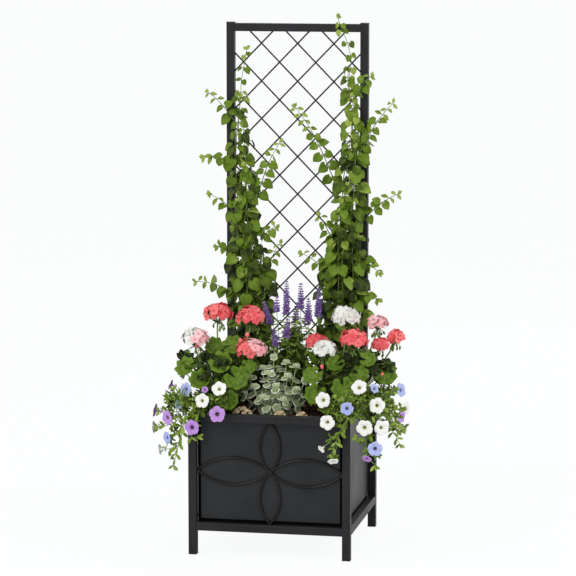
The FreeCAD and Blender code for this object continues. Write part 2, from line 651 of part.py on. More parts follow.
# How far out a flower stalk is rooted, as a share of how far out its flower head is,
# and how far above the mulch it leaves its plant's crown.
STALK_SPREAD = 0.1
STALK_ROOT = 20
SILVER_LEAVES = [(0, 5, 43, 52), (-40, 0, 58, 38), (42, 0, 63, 34), (10, 20, 98, 36)]
SALVIA_LEAVES = [(0, 0, 55, 60), (-45, 10, 70, 45), (45, 5, 80, 45), (0, 0, 120, 48), (10, 0, 170, 38)]
# How far above the mulch the salvia stems leave the crown, and the spikes of (x, y, foot, height).
SALVIA_CROWN = 60
SALVIA_SPIKES = [(-15, 0, 224, 80), (20, 5, 238, 60), (65, -5, 221, 66), (45, -15, 211, 53),
                 (-38, -8, 231, 33), (-53, -10, 201, 50), (-8, -35, 171, 43), (-33, -45, 151, 37),
                 (3, 25, 200, 45), (32, 30, 195, 45)]
# Sedum domes of (x, distance behind the front of the frame, radius).
SEDUM = [(-75, 48, 22), (21, 40, 14), (75, 38, 11)]
PETUNIA_LEAVES = {
    "left": [(-15, -2, 35, 34), (30, -6, 32, 28), (72, 0, 24, 26), (16, -10, -10, 22), (-55, 30, 35, 36),
             (-70, 70, 20, 28), (-62, 35, -20, 32), (-45, 5, -50, 28), (-45, -5, -88, 22),
             (-40, -5, -118, 14)],
    "right": [(-35, -6, 22, 26), (5, -1, 35, 34), (45, 50, 33, 40), (65, 120, 25, 40), (83, 168, 25, 30),
              (-40, -16, -15, 16), (-40, -18, -40, 14), (-38, -18, -64, 13), (-36, -18, -86, 10),
              (50, 15, -15, 30), (52, 15, -55, 24), (54, 15, -88, 18), (55, 15, -110, 12),
              (97, 180, -12, 16), (101, 180, -36, 12)],
}
# Open petunias of (colour, x, y, z, turn to the right, tilt up, share of the full size).
PETUNIAS = {
    "left": [("purple", 76, -28, 3, 0, 10, 1), ("purple", 16, -31, -31, -5, 0, 1),
             ("purple", -57, 0, -15, -35, 0, 0.9), ("purple", -98, 50, -5, -80, 0, 0.85),
             ("purple", -82, 100, 50, -70, 20, 0.8), ("purple", 45, -20, 62, -10, 30, 0.5),
             ("blue", -38, -10, 49, -20, 10, 0.9), ("blue", -62, 0, 12, -25, 0, 0.6),
             ("blue", -80, -3, -62, -60, 0, 0.7), ("white", 37, -33, 35, -5, 10, 1),
             ("white", 82, -10, 54, 0, 30, 1), ("white", -92, 20, -46, -80, -10, 0.85),
             ("white", -72, 0, -97, -80, -20, 0.75)],
    "right": [("white", -53, -31, -6, 0, 0, 1), ("white", -71, -12, 40, -5, 15, 1),
              ("white", 16, 5, 80, 0, 20, 1), ("white", 62, 4, 20, 10, 5, 0.95),
              ("white", 36, -15, -24, 5, 0, 1), ("white", 76, 5, -28, 15, 0, 0.9),
              ("white", 102, 200, 16, 60, 0, 0.85), ("white", 104, 195, -40, 70, -20, 0.7),
              ("white", -52, -28, -68, -20, -20, 0.5), ("white", -36, -22, -108, 10, -50, 0.7),
              ("blue", -3, -33, 22, 0, 0, 0.85), ("blue", 60, 40, 74, 10, 40, 0.6),
              ("blue", 98, 150, 58, 45, 20, 0.7), ("blue", 60, -10, -72, 5, 0, 1),
              ("purple", 106, 160, -2, 60, 0, 0.65), ("purple", 44, -10, -102, -10, -40, 0.6)],
}
VINE_FRONT = {
    "left": [(42, -14, 865, 20), (36, -14, 830, 24), (29, -16, 785, 30), (30, -16, 740, 28),
             (27, -18, 695, 32), (27, -18, 640, 34), (32, -20, 585, 36), (37, -20, 530, 42),
             (40, -22, 475, 45), (40, -22, 415, 48), (46, -22, 350, 50), (54, -22, 290, 52),
             (60, -22, 225, 54), (60, -22, 160, 54), (58, -22, 95, 53), (56, -22, 35, 48)],
    "right": [(-65, -12, 940, 13), (-58, -12, 915, 16), (-44, -14, 885, 22), (-31, -16, 840, 26),
              (-39, -16, 790, 28), (-32, -18, 740, 28), (-24, -18, 690, 28), (-20, -18, 635, 34),
              (-24, -20, 580, 40), (-28, -20, 520, 45), (-32, -22, 460, 48), (-38, -22, 400, 49),
              (-45, -22, 340, 50), (-50, -22, 280, 52), (-54, -22, 220, 54), (-56, -22, 155, 54),
              (-52, -22, 95, 52), (-48, -22, 35, 46)],
}
# Side shoots of (x, z) at the foot and (x, z) at the tip.
VINE_SHOOTS = {
    "left": [((9, 675), (-63, 757)), ((13, 573), (-76, 591)), ((20, 435), (-59, 499)),
             ((22, 235), (-98, 278)), ((60, 484), (124, 634)), ((80, 283), (124, 380))],
    "right": [((-17, 581), (80, 737)), ((0, 435), (94, 508)), ((-12, 350), (45, 205)),
              ((-67, 527), (-172, 723)), ((-75, 291), (-155, 356))],
}
VINE_BACK = [(48, 25, 30, 44), (50, 25, 90, 48), (50, 25, 155, 46), (48, 25, 220, 44), (46, 25, 280, 42),
             (42, 24, 338, 40), (38, 24, 394, 38), (34, 24, 446, 36), (30, 24, 496, 34), (30, 24, 542, 32),
             (30, 24, 586, 30), (30, 24, 626, 26)]


def build_geraniums(zones, silver_plant):
    """Two mounds of leaves with domed flower heads on stalks above them."""
    heads = {"coral": [], "pink": [], "white": []}
    stalks = []
    mounds = []
    for side, anchor in (("left", LEFT_GERANIUM), ("right", RIGHT_GERANIUM)):
        rooms = []
        for colour, *offsets, radius in GERANIUM_HEADS[side]:
            tag = f"{side}_{len(rooms)}"
            place = from_anchor(anchor, offsets)
            heads[colour].append(sphere(f"head_{tag}", radius, *place, lowest=f"-{S}dome_dip"))
            rooms.append(sphere(f"head_room_{tag}", f"{radius} + {S}soft_clearance", *place))
            underside = radius * math.sin(math.radians(size("dome_dip")))
            root = Vector(STALK_SPREAD * offsets[0], STALK_SPREAD * offsets[1], STALK_ROOT)
            run = Vector(offsets[0], offsets[1], offsets[2] - underside) - root
            stalk = part("Cylinder", f"stalk_{tag}", Radius=f"{S}stalk_radius", Height=run.Length)
            stalks.append(put(stalk, *from_anchor(anchor, root), pointing(run)))
        mass = fuse(clump(f"{side}_geranium", anchor, GERANIUM_LEAVES[side]), f"{side}_geranium_mass")
        clear_of = [zones["box"], zones["middle"], zones["trailing"], zones["vines"]] + rooms
        mound = keep_clear(mass, clear_of, f"{side}_geranium")
        mounds.append(node(mound, f"{side}_geranium_leaves"))
    for colour, domes in heads.items():
        node(group(domes, f"{colour}_geranium_heads"), f"{colour}_geranium_heads")
    node(keep_clear(group(stalks, "stalks"), mounds + [silver_plant], "stalks"), "geranium_stalks")
    return mounds


def build_silver_plant(zones):
    mass = fuse(clump("silver_plant", SILVER_PLANT, SILVER_LEAVES), "silver_plant_mass")
    clear_of = [zones["box"], zones["left"], zones["right"], zones["after_silver"]]
    return node(keep_clear(mass, clear_of, "silver_plant"), "silver_plant")


def build_salvia(zones):
    """Upright flower spikes on thin stems above narrow leaves."""
    mass = fuse(clump("salvia", SALVIA, SALVIA_LEAVES), "salvia_mass")
    clear_of = [zones["box"], zones["left"], zones["right"], zones["before_salvia"], zones["vines"]]
    spikes = []
    for x, y, foot, height in SALVIA_SPIKES:
        tag = len(spikes)
        spike = part("Cone", f"spike_{tag}", Radius1=f"{S}spike_radius", Radius2=f"{S}spike_tip",
                     Height=height)
        put(spike, *from_anchor(SALVIA, (x, y, foot)))
        stem = part("Cylinder", f"spike_stem_{tag}", Radius=f"{S}spike_stem", Height=foot - SALVIA_CROWN)
        put(stem, *from_anchor(SALVIA, (x, y, SALVIA_CROWN)))
        spikes.append(fuse([spike, stem], f"spike_and_stem_{tag}"))
    leaves = node(keep_clear(mass, clear_of, "salvia"), "salvia_leaves")
    node(cut(group(spikes, "whole_spikes"), leaves, "salvia_spikes"), "salvia_spikes")


def build_sedum():
    domes = []
    for x, behind, radius in SEDUM:
        y = f"-{S}box_depth / 2 + {behind}"
        domes.append(sphere(f"sedum_{len(domes)}", radius, x, y, MULCH_TOP, lowest="0"))
    node(group(domes, "sedum"), "sedum")


def build_petunias(zones, mounds):
    """Leafy stems that spill over the front corners, with open flowers that face outward."""
    flowers = {"purple": [], "blue": [], "white": []}
    masses = []
    for side, anchor in (("left", LEFT_CORNER), ("right", RIGHT_CORNER)):
        balls = clump(f"{side}_petunia", anchor, PETUNIA_LEAVES[side], SEAM_BESIDE)
        mass = fuse(balls, f"{side}_petunia_mass")
        clear_of = [zones["box"], zones["inner"], zones["above"]]
        masses.append(node(keep_clear(mass, clear_of, f"{side}_petunia"), f"{side}_petunia_leaves"))
        for colour, x, y, z, turn, tilt, share in PETUNIAS[side]:
            level = math.cos(math.radians(tilt))
            facing = Vector(level * math.sin(math.radians(turn)), -level * math.cos(math.radians(turn)),
                            math.sin(math.radians(tilt)))
            back = share * size("petunia_depth")
            trumpet = part("Cone", f"trumpet_{side}_{len(doc.Objects)}",
                           Radius1=f"{S}petunia_throat * {share}", Radius2=f"{S}petunia_radius * {share}",
                           Height=f"{S}petunia_depth * {share}")
            put(trumpet, *from_anchor(anchor, Vector(x, y, z) - facing * back), pointing(facing))
            flowers[colour].append(trumpet)
    for colour, trumpets in flowers.items():
        whole = group(trumpets, f"{colour}_trumpets")
        name = f"{colour}_petunias"
        node(keep_clear(whole, masses + mounds + [zones["box"]], name), name)


def build_vines(zones):
    """A climber on each upright: a tall mass before the trellis and a lower one behind it."""
    for side, anchor, mirror in (("left", LEFT_VINE, 1), ("right", RIGHT_VINE, -1)):
        masses = clump(f"{side}_vine", anchor, VINE_FRONT[side])
        for foot, tip in VINE_SHOOTS[side]:
            run = Vector(tip[0] - foot[0], 0, tip[1] - foot[1])
            shoot = part("Cone", f"{side}_shoot_{len(masses)}", Radius1=f"{S}shoot_radius",
                         Radius2=f"{S}shoot_tip", Height=run.Length)
            put(shoot, *from_anchor(anchor, (foot[0], f"-{S}shoot_radius", foot[1])), pointing(run))
            masses.append(shoot)
        front = keep_clear(fuse(masses, f"{side}_vine_mass"),
                           [zones["box"], zones["before_vines"], zones["trellis"]], f"{side}_vine_front")
        mirrored = [(mirror * x, y, z, radius) for x, y, z, radius in VINE_BACK]
        behind = fuse(clump(f"{side}_vine_behind", anchor, mirrored), f"{side}_vine_behind_mass")
        back = keep_clear(behind, [zones["box"], zones["before_back"]], f"{side}_vine_back")
        node(group([front, back], f"{side}_vine"), f"{side}_vine")


def build_planting():
    zones = build_growing_zones()
    mounds = build_geraniums(zones, build_silver_plant(zones))
    build_salvia(zones)
    build_sedum()
    build_petunias(zones, mounds)
    build_vines(zones)


def main():
    build_box_frame()
    build_glides_and_caps()
    build_panels()
    build_liner()
    build_rod_flower()
    build_trellis_frame()
    build_lattice()
    build_trellis_bolts()
    build_bed()
    build_planting()


main()
doc.recompute()

for item in doc.Objects:
    if "Invalid" in item.State or "Error" in item.State:
        raise RuntimeError(f"{item.Name} did not build: {item.State}")
os.makedirs("parts", exist_ok=True)
for item in NODES:
    if item.Shape.isNull() or not item.Shape.isValid():
        raise RuntimeError(f"{item.Label} has no valid shape")
    item.Shape.exportStep(f"parts/{item.Label}.step")
    print(f"{item.Label}: {len(item.Shape.Solids)} solids, {item.Shape.Volume / 1000:.1f} cm3")
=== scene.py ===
import json
import random
from math import copysign, cos, hypot, pi, radians, sin, sqrt

import bpy
import numpy as np
from mathutils import Matrix, Vector, noise
from numpy.linalg import norm


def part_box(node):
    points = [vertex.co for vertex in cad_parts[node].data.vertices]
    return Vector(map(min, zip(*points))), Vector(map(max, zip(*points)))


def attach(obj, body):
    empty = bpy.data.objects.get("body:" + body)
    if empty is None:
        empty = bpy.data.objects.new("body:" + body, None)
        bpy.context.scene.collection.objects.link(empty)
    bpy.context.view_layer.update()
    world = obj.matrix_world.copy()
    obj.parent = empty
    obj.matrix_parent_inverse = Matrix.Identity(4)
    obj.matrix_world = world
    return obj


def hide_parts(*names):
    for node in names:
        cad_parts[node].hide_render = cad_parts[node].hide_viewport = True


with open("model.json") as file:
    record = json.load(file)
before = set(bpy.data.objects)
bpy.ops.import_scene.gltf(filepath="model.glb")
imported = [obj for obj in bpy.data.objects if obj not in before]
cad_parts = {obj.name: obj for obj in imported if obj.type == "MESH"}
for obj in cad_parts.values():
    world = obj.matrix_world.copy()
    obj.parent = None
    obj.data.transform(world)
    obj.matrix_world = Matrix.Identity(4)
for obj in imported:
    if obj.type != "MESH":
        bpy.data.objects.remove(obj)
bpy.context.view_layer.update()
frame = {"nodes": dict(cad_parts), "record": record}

# A square metal planter with a trellis behind it, dressed with leaves, petals, soil and
# bark. Plant places are in millimetres of the CAD frame, and MM turns them into metres.
# Colours are given as 0 to 255 on a screen.

MM = 0.001
DRAW = random.Random(41)
UP = np.array([0.0, 0.0, 1.0])
FRONT = np.array([0.0, -1.0, 0.0])
SIDES = (("left", -1), ("right", 1))
# The height of the bed, at which the lowest stems start.
BED = 343
FULL_TURN = 2 * pi
# The turn from one leaf to the next, and from one floret to the next, in a spiral.
LEAF_SPIRAL = 2.4
FLORET_SPIRAL = 2.39996


def array(*values):
    return np.array(values, float)


def unit(vector):
    return vector / max(norm(vector), 1e-9)


def between(low, high):
    return DRAW.uniform(low, high)

def jitter(amount):
    return array(*[between(-amount, amount) for _ in range(3)])


def across_floor(angle, rise=0.0):
    return array(cos(angle), sin(angle), rise)


def across_view(angle, depth=0.0):
    return array(cos(angle), depth, sin(angle))


# ---------------------------------------------------------------------- materials


def linear(*colour):
    """A screen colour as Blender's linear values."""
    channels = []
    for share in np.array(colour) / 255:
        channels.append(share / 12.92 if share <= 0.04045 else ((share + 0.055) / 1.055) ** 2.4)
    return *channels, 1.0


class Tree:
    """The node tree of a material or a world, with helpers that keep its building short."""

    def __init__(self, owner):
        owner.use_nodes = True
        self.nodes = owner.node_tree.nodes
        self.links = owner.node_tree.links

    def fill(self, node, inputs):
        """Sets inputs of a node from other nodes' outputs, numbers and screen colours."""
        for key, value in inputs.items():
            if isinstance(value, bpy.types.NodeSocket):
                self.links.new(value, node.inputs[key])
            else:
                node.inputs[key].default_value = linear(*value) if isinstance(value, tuple) else value

    def node(self, kind, inputs, output=0, **settings):
        """One output of a new node."""
        node = self.nodes.new("ShaderNode" + kind)
        for name, setting in settings.items():
            setattr(node, name, setting)
        self.fill(node, inputs)
        return node.outputs[output]

    def noise(self, scale, detail=3.0, roughness=0.5):
        place = self.node("TexCoord", {}, "Object")
        settings = {"Vector": place, "Scale": scale, "Detail": detail, "Roughness": roughness}
        return self.node("TexNoise", settings, "Fac")

    def math(self, operation, *values):
        return self.node("Math", dict(enumerate(values)), operation=operation)

    def plus(self, first, second):
        return self.math("ADD", first, second)

    def times(self, first, second):
        return self.math("MULTIPLY", first, second)

    def waves(self, value, count):
        return self.math("SINE", self.times(value, FULL_TURN * count))

    def ramp(self, value, low, high, start=0.0, end=1.0):
        settings = {"Value": value, "From Min": low, "From Max": high, "To Min": start, "To Max": end}
        return self.node("MapRange", settings, "Result", interpolation_type="SMOOTHSTEP")

    def mix(self, share, first, second):
        return self.node("Mix", {"Factor": share, 6: first, 7: second}, 2, data_type="RGBA")

    def organ(self):
        """The u, v and tint that each leaf and petal carries in its mesh."""
        vector = self.node("Attribute", {}, "Vector", attribute_name="organ")
        return tuple(self.node("SeparateXYZ", {0: vector}).node.outputs)


class Shader(Tree):
    """A material with one surface."""

    def __init__(self, name, roughness, specular=0.5, metallic=0.0):
        self.material = bpy.data.materials.new(name)
        super().__init__(self.material)
        self.surface = self.nodes["Principled BSDF"]
        self.fill(self.surface, {"Roughness": roughness, "Metallic": metallic,
                                 "Specular IOR Level": specular})

    def finish(self, colour, height, distance, strength, roughness=None):
        """The material, with its colour and bump and, where it varies, its roughness."""
        bump = self.node("Bump", {"Distance": distance, "Strength": strength, "Height": height})
        self.fill(self.surface, {"Base Color": colour, "Normal": bump})
        if roughness:
            self.fill(self.surface, {"Roughness": roughness})
        return self.material


def powder_coat(name, dark, pale, roughness):
    """Charcoal powder coat: a fine orange peel, faint mottling and a dusty bloom."""
    shader = Shader(name, roughness, specular=0.24)
    mottle = shader.noise(9.0, 5.0, 0.6)
    grain = shader.noise(900.0, 2.0)
    colour = shader.mix(shader.ramp(mottle, 0.3, 0.7), dark, pale)
    speck = shader.ramp(grain, 0.58, 0.75, 0.0, 0.35)
    peel = shader.plus(shader.noise(420.0, 2.0), shader.times(grain, 0.5))
    return shader.finish(shader.mix(speck, colour, (62, 63, 66)), peel, 0.00025, 0.45,
                         shader.ramp(mottle, 0.25, 0.75, roughness - 0.06, roughness + 0.08))


def black_plastic(name, dark, pale, roughness, specular):
    shader = Shader(name, roughness, specular)
    cloud = shader.ramp(shader.noise(30.0, 4.0), 0.3, 0.7)
    return shader.finish(shader.mix(cloud, dark, pale), shader.noise(700.0), 0.0002, 0.5)


def black_steel():
    shader = Shader("black_steel", 0.35, metallic=1.0)
    cloud = shader.noise(220.0, 4.0)
    return shader.finish(shader.mix(cloud, (52, 52, 55), (88, 88, 92)), cloud, 0.0002, 0.3,
                         shader.ramp(cloud, 0.3, 0.7, 0.28, 0.5))


def soil_material():
    shader = Shader("potting_soil", 0.92, specular=0.2)
    place = shader.node("TexCoord", {}, "Object")
    crumbs = shader.node("TexVoronoi", {"Vector": place, "Scale": 260.0}, "Distance")
    damp = shader.noise(40.0, 6.0)
    dark = shader.mix(shader.ramp(damp, 0.35, 0.65), (20, 15, 12), (52, 38, 28))
    colour = shader.mix(shader.ramp(crumbs, 0.1, 0.7), (12, 9, 8), dark)
    return shader.finish(colour, shader.plus(crumbs, damp), 0.003, 0.9)


def bark_material():
    shader = Shader("bark_chips", 0.85, specular=0.25)
    grain = shader.noise(180.0, 5.0)
    base = shader.mix(shader.organ()[2], (24, 16, 11), (190, 100, 54))
    return shader.finish(shader.mix(shader.ramp(grain, 0.45, 0.8), base, (70, 42, 26)), grain, 0.0012, 0.8)


def leaf_material(name, deep, fresh, vein, young=None, veins=6.0, gloss=0.5, rim=None, band=None,
                  tip=None, radial=False, vein_strength=0.45):
    """A leaf with a midrib, side veins, a spread of greens and an optional pale rim or tip."""
    shader = Shader(name, gloss, specular=0.16)
    ramp, mix, times = shader.ramp, shader.mix, shader.times
    across, along, tint = shader.organ()
    side = shader.math("ABSOLUTE", across)
    cloud = shader.noise(55.0, 4.0)
    share = shader.plus(tint, ramp(cloud, 0.25, 0.75, -0.16, 0.16))
    # Low tints give the deep green; leaves tinted low for sitting inside the foliage carry it as painted
    # shade.
    colour = mix(ramp(share, 0.0, 0.7), deep, fresh)
    if young:
        colour = mix(ramp(share, 0.7, 1.15), colour, young)
    if radial:
        lines = times(ramp(shader.waves(across, veins), 0.75, 1.0), ramp(along, 0.1, 0.95, 1.0, 0.35))
    else:
        slant = shader.math("SUBTRACT", along, times(side, 0.35))
        ribs = ramp(shader.waves(slant, veins), 0.8, 1.0, 0.0, 0.7)
        lines = shader.math("MAXIMUM", ribs, ramp(side, 0.02, 0.1, 1.0, 0.0))
    colour = mix(times(lines, vein_strength), colour, vein)
    if band:
        ring = times(ramp(along, 0.42, 0.56), ramp(along, 0.62, 0.8, 1.0, 0.0))
        colour = mix(times(ring, 0.35), colour, band)
    if rim:
        colour = mix(shader.math("MAXIMUM", ramp(side, 0.62, 0.85), ramp(along, 0.8, 0.95)), colour, rim)
    if tip:
        colour = mix(ramp(along, 0.74, 0.9), colour, tip)
    return shader.finish(colour, shader.plus(lines, times(cloud, 0.6)), 0.0006, 0.5)


def petal_material(name, face, shade, throat, throat_end, streak, strength=0.35, streaks=2.0):
    """A petal that deepens towards the throat, with fine streaks that run outwards."""
    shader = Shader(name, 0.55, specular=0.25)
    shader.fill(shader.surface, {"Sheen Weight": 0.15})
    across, along, tint = shader.organ()
    cloud = shader.noise(120.0)
    share = shader.plus(tint, shader.ramp(cloud, 0.3, 0.7, -0.15, 0.15))
    colour = shader.mix(shader.ramp(share, 0.0, 1.0), shade, face)
    lines = shader.times(shader.ramp(shader.waves(across, streaks), 0.1, 0.95),
                         shader.ramp(along, throat_end, 1.0, strength, 0.3 * strength))
    middle = shader.ramp(along, throat_end - 0.1, throat_end + 0.14, 1.0, 0.0)
    colour = shader.mix(middle, shader.mix(lines, colour, streak), throat)
    return shader.finish(colour, shader.plus(lines, cloud), 0.0004, 0.4)


def stem_material(name, deep, fresh):
    shader = Shader(name, 0.5, specular=0.35)
    _, along, tint = shader.organ()
    cloud = shader.noise(140.0, 4.0)
    share = shader.times(shader.plus(along, cloud), 0.6)
    colour = shader.mix(shader.ramp(share, 0.2, 0.8), deep, fresh)
    return shader.finish(shader.mix(shader.times(tint, 0.3), colour, fresh), cloud, 0.0004, 0.5)


# ------------------------------------------------------------------- forms and bunches


def grid_faces(rows, columns, around=False):
    """Quads of a grid of points that is stored row by row."""
    faces = []
    for row in range(rows - 1):
        for column in range(columns if around else columns - 1):
            here, following = row * columns + column, row * columns + (column + 1) % columns
            faces.append((here, following, following + columns, here + columns))
    return faces


def grid_form(rows, columns, place, around=False):
    """A form whose place at a row and a column is x, y, z, u and v."""
    table = np.array([place(row, column) for row in range(rows) for column in range(columns)], float)
    return table[:, :3], grid_faces(rows, columns, around), table[:, 3:]


def blade(profile, lobes=0.0, fold=0.25, droop=0.2, ruffle=0.0, columns=5):
    """A leaf blade one unit long: half widths along it, basal lobes, a fold and a droop."""
    def place(row, column):
        width, along, across = profile[row], row / (len(profile) - 1), 2 * column / (columns - 1) - 1
        back = lobes * abs(across) ** 1.6 * (1 - along) ** 3
        wave = ruffle * sin(9 * along + 3 * across) * abs(across)
        rise = fold * width * abs(across) - droop * along ** 2 + wave
        return across * width, along - back, rise, across, along

    return grid_form(len(profile), columns, place)


def round_leaf(scallop=0.06, pleat=0.09, cup=0.2, notch=0.35):
    """A round ruffled leaf one unit wide: pleated lobes round the top of its stalk."""
    lobes = 7
    rings = (0.0, 0.25, 0.5, 0.72, 0.88, 1.0)

    def place(row, step):
        ring, share = rings[row], step / (6 * lobes)
        angle = (share - 0.5) * (FULL_TURN - notch)
        wave = cos(lobes * FULL_TURN * share)
        fine = cos(3 * lobes * FULL_TURN * share)
        radius = 0.5 * (1 - scallop * (1 + wave) * ring - 0.02 * fine * ring) * ring
        rise = cup * ring ** 2 * 0.5 - pleat * wave * ring ** 1.5 * 0.5
        return radius * sin(angle), 0.08 + radius * cos(angle), rise, share, ring

    return grid_form(len(rings), 6 * lobes + 1, place)


def joined(forms):
    """Several forms as one."""
    faces = []
    start = 0
    for points, own_faces, _ in forms:
        faces.extend(tuple(index + start for index in face) for face in own_faces)
        start += len(points)
    return np.concatenate([form[0] for form in forms]), faces, np.concatenate([form[2] for form in forms])


def trumpet_flower(ruffle):
    """A petunia of radius one that faces +Z: a five-lobed face on a funnel with a pale outside."""
    profile = [(0.07, -1.05), (0.10, -0.85), (0.13, -0.60), (0.17, -0.38), (0.24, -0.18), (0.38, -0.04),
               (0.58, 0.03), (0.78, 0.05), (0.92, 0.03), (1.0, -0.02)]
    sleeve = [(0.09, -1.06), (0.13, -0.85), (0.17, -0.60), (0.22, -0.38), (0.31, -0.19)]
    count, sides = 50, 20

    def face(row, step):
        radius, height = profile[row]
        angle = FULL_TURN * step / count
        lobe = abs(cos(2.5 * angle))
        frill = 0.025 * sin(15 * angle + 0.4) + 0.02 * sin(7 * angle + 1.1)
        outer = 0.84 + 0.16 * lobe ** 0.6 + frill
        reach = radius * (1 - (1 - outer) * radius ** 3)
        wave = ruffle * radius ** 3 * (sin(5 * angle + 0.6) + 0.5 * sin(10 * angle + 1.9))
        crease = -0.05 * radius * (1 - lobe) ** 2
        return (reach * sin(angle), reach * cos(angle), height + wave + crease,
                step / count, row / (len(profile) - 1))

    def outside(row, step):
        radius, height = sleeve[row]
        angle = FULL_TURN * step / sides
        return radius * sin(angle), radius * cos(angle), height, step / sides, 0.9

    return joined([grid_form(len(profile), count, face, True), grid_form(len(sleeve), sides, outside, True)])


def five_petals(cup):
    """A geranium floret of radius one that faces +Z."""
    points, faces, coords = blade([0.07, 0.15, 0.32, 0.44, 0.48, 0.45, 0.34, 0.14], fold=-0.16, ruffle=0.05)
    petals = []
    for number in range(5):
        tilt = Matrix.Rotation(cup + 0.06 * (number % 2), 3, "X")
        turn = Matrix.Rotation(number * FULL_TURN / 5, 3, "Z") @ tilt
        petals.append((points @ np.array(turn).T, faces, coords))
    return joined(petals)


def bead(thickness, bow=0.0):
    """A plump closed bud one unit long that grows along +Y."""
    rings, sides = 5, 6

    def place(row, side):
        along, angle = row / (rings - 1), FULL_TURN * side / sides
        radius = thickness * sin(pi * (0.06 + 0.88 * along)) ** 0.8
        rise = radius * sin(angle) + bow * along ** 2
        return radius * cos(angle), along, rise, side / sides, along

    points, faces, coords = grid_form(rings, sides, place, True)
    last = (rings - 1) * sides
    return points, faces + [tuple(range(sides)), tuple(range(last, last + sides))[::-1]], coords


def new_object(name, points, faces, material):
    mesh = bpy.data.meshes.new(name)
    mesh.from_pydata(points, [], faces)
    mesh.materials.append(material)
    piece = bpy.data.objects.new(name, mesh)
    bpy.context.scene.collection.objects.link(piece)
    return piece


class Bunch:
    """Many small leaves, petals or stems gathered into one piece."""

    def __init__(self, name, material, slot, nodes=()):
        self.name, self.material, self.slot, self.nodes = name, material, slot, nodes
        self.forms = []

    def take(self, points, faces, coords, tint):
        self.forms.append((points, faces, np.column_stack([coords, np.full(len(points), tint)])))

    def add(self, form, place, along, normal, size, tint, width=1.0):
        """Sets a form at a place, with its Y along one direction and its Z near another."""
        points, faces, coords = form
        upward = unit(normal)
        forward = along - upward * np.dot(along, upward)
        if norm(forward) < 1e-3:
            forward = np.cross(upward, array(1.0, 0.2, 0.1))
        forward = unit(forward)
        sideways = np.cross(forward, upward)
        axes = np.array([sideways * width, forward, upward])
        self.take(place + size * (points @ axes), faces, coords, tint)

    def tube(self, path, start_radius, end_radius, tint=0.5, sides=6):
        """A round stem along a path, closed at both ends."""
        path = np.array(path, float)
        last = len(path) - 1
        side = unit(np.cross(path[1] - path[0], array(0.31, 0.87, 0.23)))
        axes = []
        for number in range(len(path)):
            ahead = unit(path[min(number + 1, last)] - path[max(number - 1, 0)])
            side = unit(side - ahead * np.dot(side, ahead))
            axes.append((side, np.cross(ahead, side)))

        def place(row, step):
            angle = FULL_TURN * step / sides
            radius = start_radius + (end_radius - start_radius) * row / last
            offset = cos(angle) * axes[row][0] + sin(angle) * axes[row][1]
            return *(path[row] + radius * offset), step / sides, row / last

        points, faces, coords = grid_form(len(path), sides, place, True)
        faces += [tuple(range(sides))[::-1], tuple(range(last * sides, (last + 1) * sides))]
        self.take(points, faces, coords, tint)

    def finish(self, thickness=0.0):
        points, faces, coords = joined(self.forms)
        piece = new_object(self.name, (points * MM).tolist(), faces, self.material)
        mesh = piece.data
        organ = mesh.attributes.new("organ", "FLOAT_VECTOR", "POINT")
        organ.data.foreach_set("vector", coords.astype(np.float32).ravel())
        mesh.polygons.foreach_set("use_smooth", [True] * len(mesh.polygons))
        mesh.update()
        if thickness:
            solid = piece.modifiers.new("thickness", "SOLIDIFY")
            solid.thickness = thickness * MM
            solid.offset = 0
        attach(piece, "root")
        if self.nodes:
            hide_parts(*self.nodes)


def bend(start, end, sag, steps=6):
    """Points from start to end, bowed by sag in the middle."""
    shares = np.linspace(0, 1, steps)[:, None]
    return start + (end - start) * shares + sag * np.sin(shares * pi)


def scatter(node, count, spacing, low=-1e9, accept=lambda place, outward: True):
    """Places and outward directions spread over a CAD node's surface, in millimetres."""
    mesh = frame["nodes"][node].data
    mesh.calc_loop_triangles()
    corners = np.array([vertex.co for vertex in mesh.vertices], float) / MM
    triangles = corners[np.array([triangle.vertices for triangle in mesh.loop_triangles])]
    edges = triangles[:, 1:] - triangles[:, :1]
    normals = np.cross(edges[:, 0], edges[:, 1])
    areas = norm(normals, axis=1)
    steps = np.cumsum(areas)
    found = []
    for _ in range(count * 12):
        if len(found) >= count:
            break
        number = int(np.searchsorted(steps, DRAW.random() * steps[-1]))
        first, second = DRAW.random(), DRAW.random()
        if first + second > 1:
            first, second = 1 - first, 1 - second
        place = triangles[number, 0] + first * edges[number, 0] + second * edges[number, 1]
        outward = normals[number] / max(areas[number], 1e-9)
        if place[2] < low or not accept(place, outward):
            continue
        if all(np.sum((kept - place) ** 2) >= spacing ** 2 for kept, _ in found):
            found.append((place, outward))
    return found


# Leaf forms, each one unit long.
HEART_LEAVES = [
    blade([0.24, 0.42, 0.50, 0.51, 0.48, 0.41, 0.31, 0.18, 0.02], lobes=0.16, fold=0.20, droop=0.30,
          ruffle=0.02, columns=7),
    blade([0.22, 0.38, 0.46, 0.48, 0.45, 0.38, 0.28, 0.15, 0.02], lobes=0.14, fold=0.34, droop=0.20,
          ruffle=0.03, columns=7),
    blade([0.24, 0.44, 0.53, 0.55, 0.51, 0.43, 0.33, 0.19, 0.02], lobes=0.18, fold=0.10, droop=0.42,
          ruffle=0.02, columns=7),
]
YOUNG_LEAF = blade([0.08, 0.20, 0.29, 0.30, 0.25, 0.16, 0.03], lobes=0.05, fold=0.4, droop=0.25)
LANCE_LEAF = blade([0.05, 0.14, 0.18, 0.17, 0.11, 0.02], fold=0.4, droop=0.3, columns=3)
SPOON_LEAF = blade([0.08, 0.24, 0.42, 0.50, 0.49, 0.38, 0.12], fold=0.12, droop=0.12)
BROAD_LANCE = blade([0.04, 0.10, 0.16, 0.19, 0.15, 0.02], fold=0.3, droop=0.22, columns=3)
ROUND_LEAVES = [round_leaf(), round_leaf(pleat=0.11, cup=0.3, notch=0.5), round_leaf(scallop=0.05, cup=-0.08)]
FLORETS = [five_petals(0.25), five_petals(0.08), five_petals(0.42)]
TRUMPETS = [trumpet_flower(0.02), trumpet_flower(0.045)]
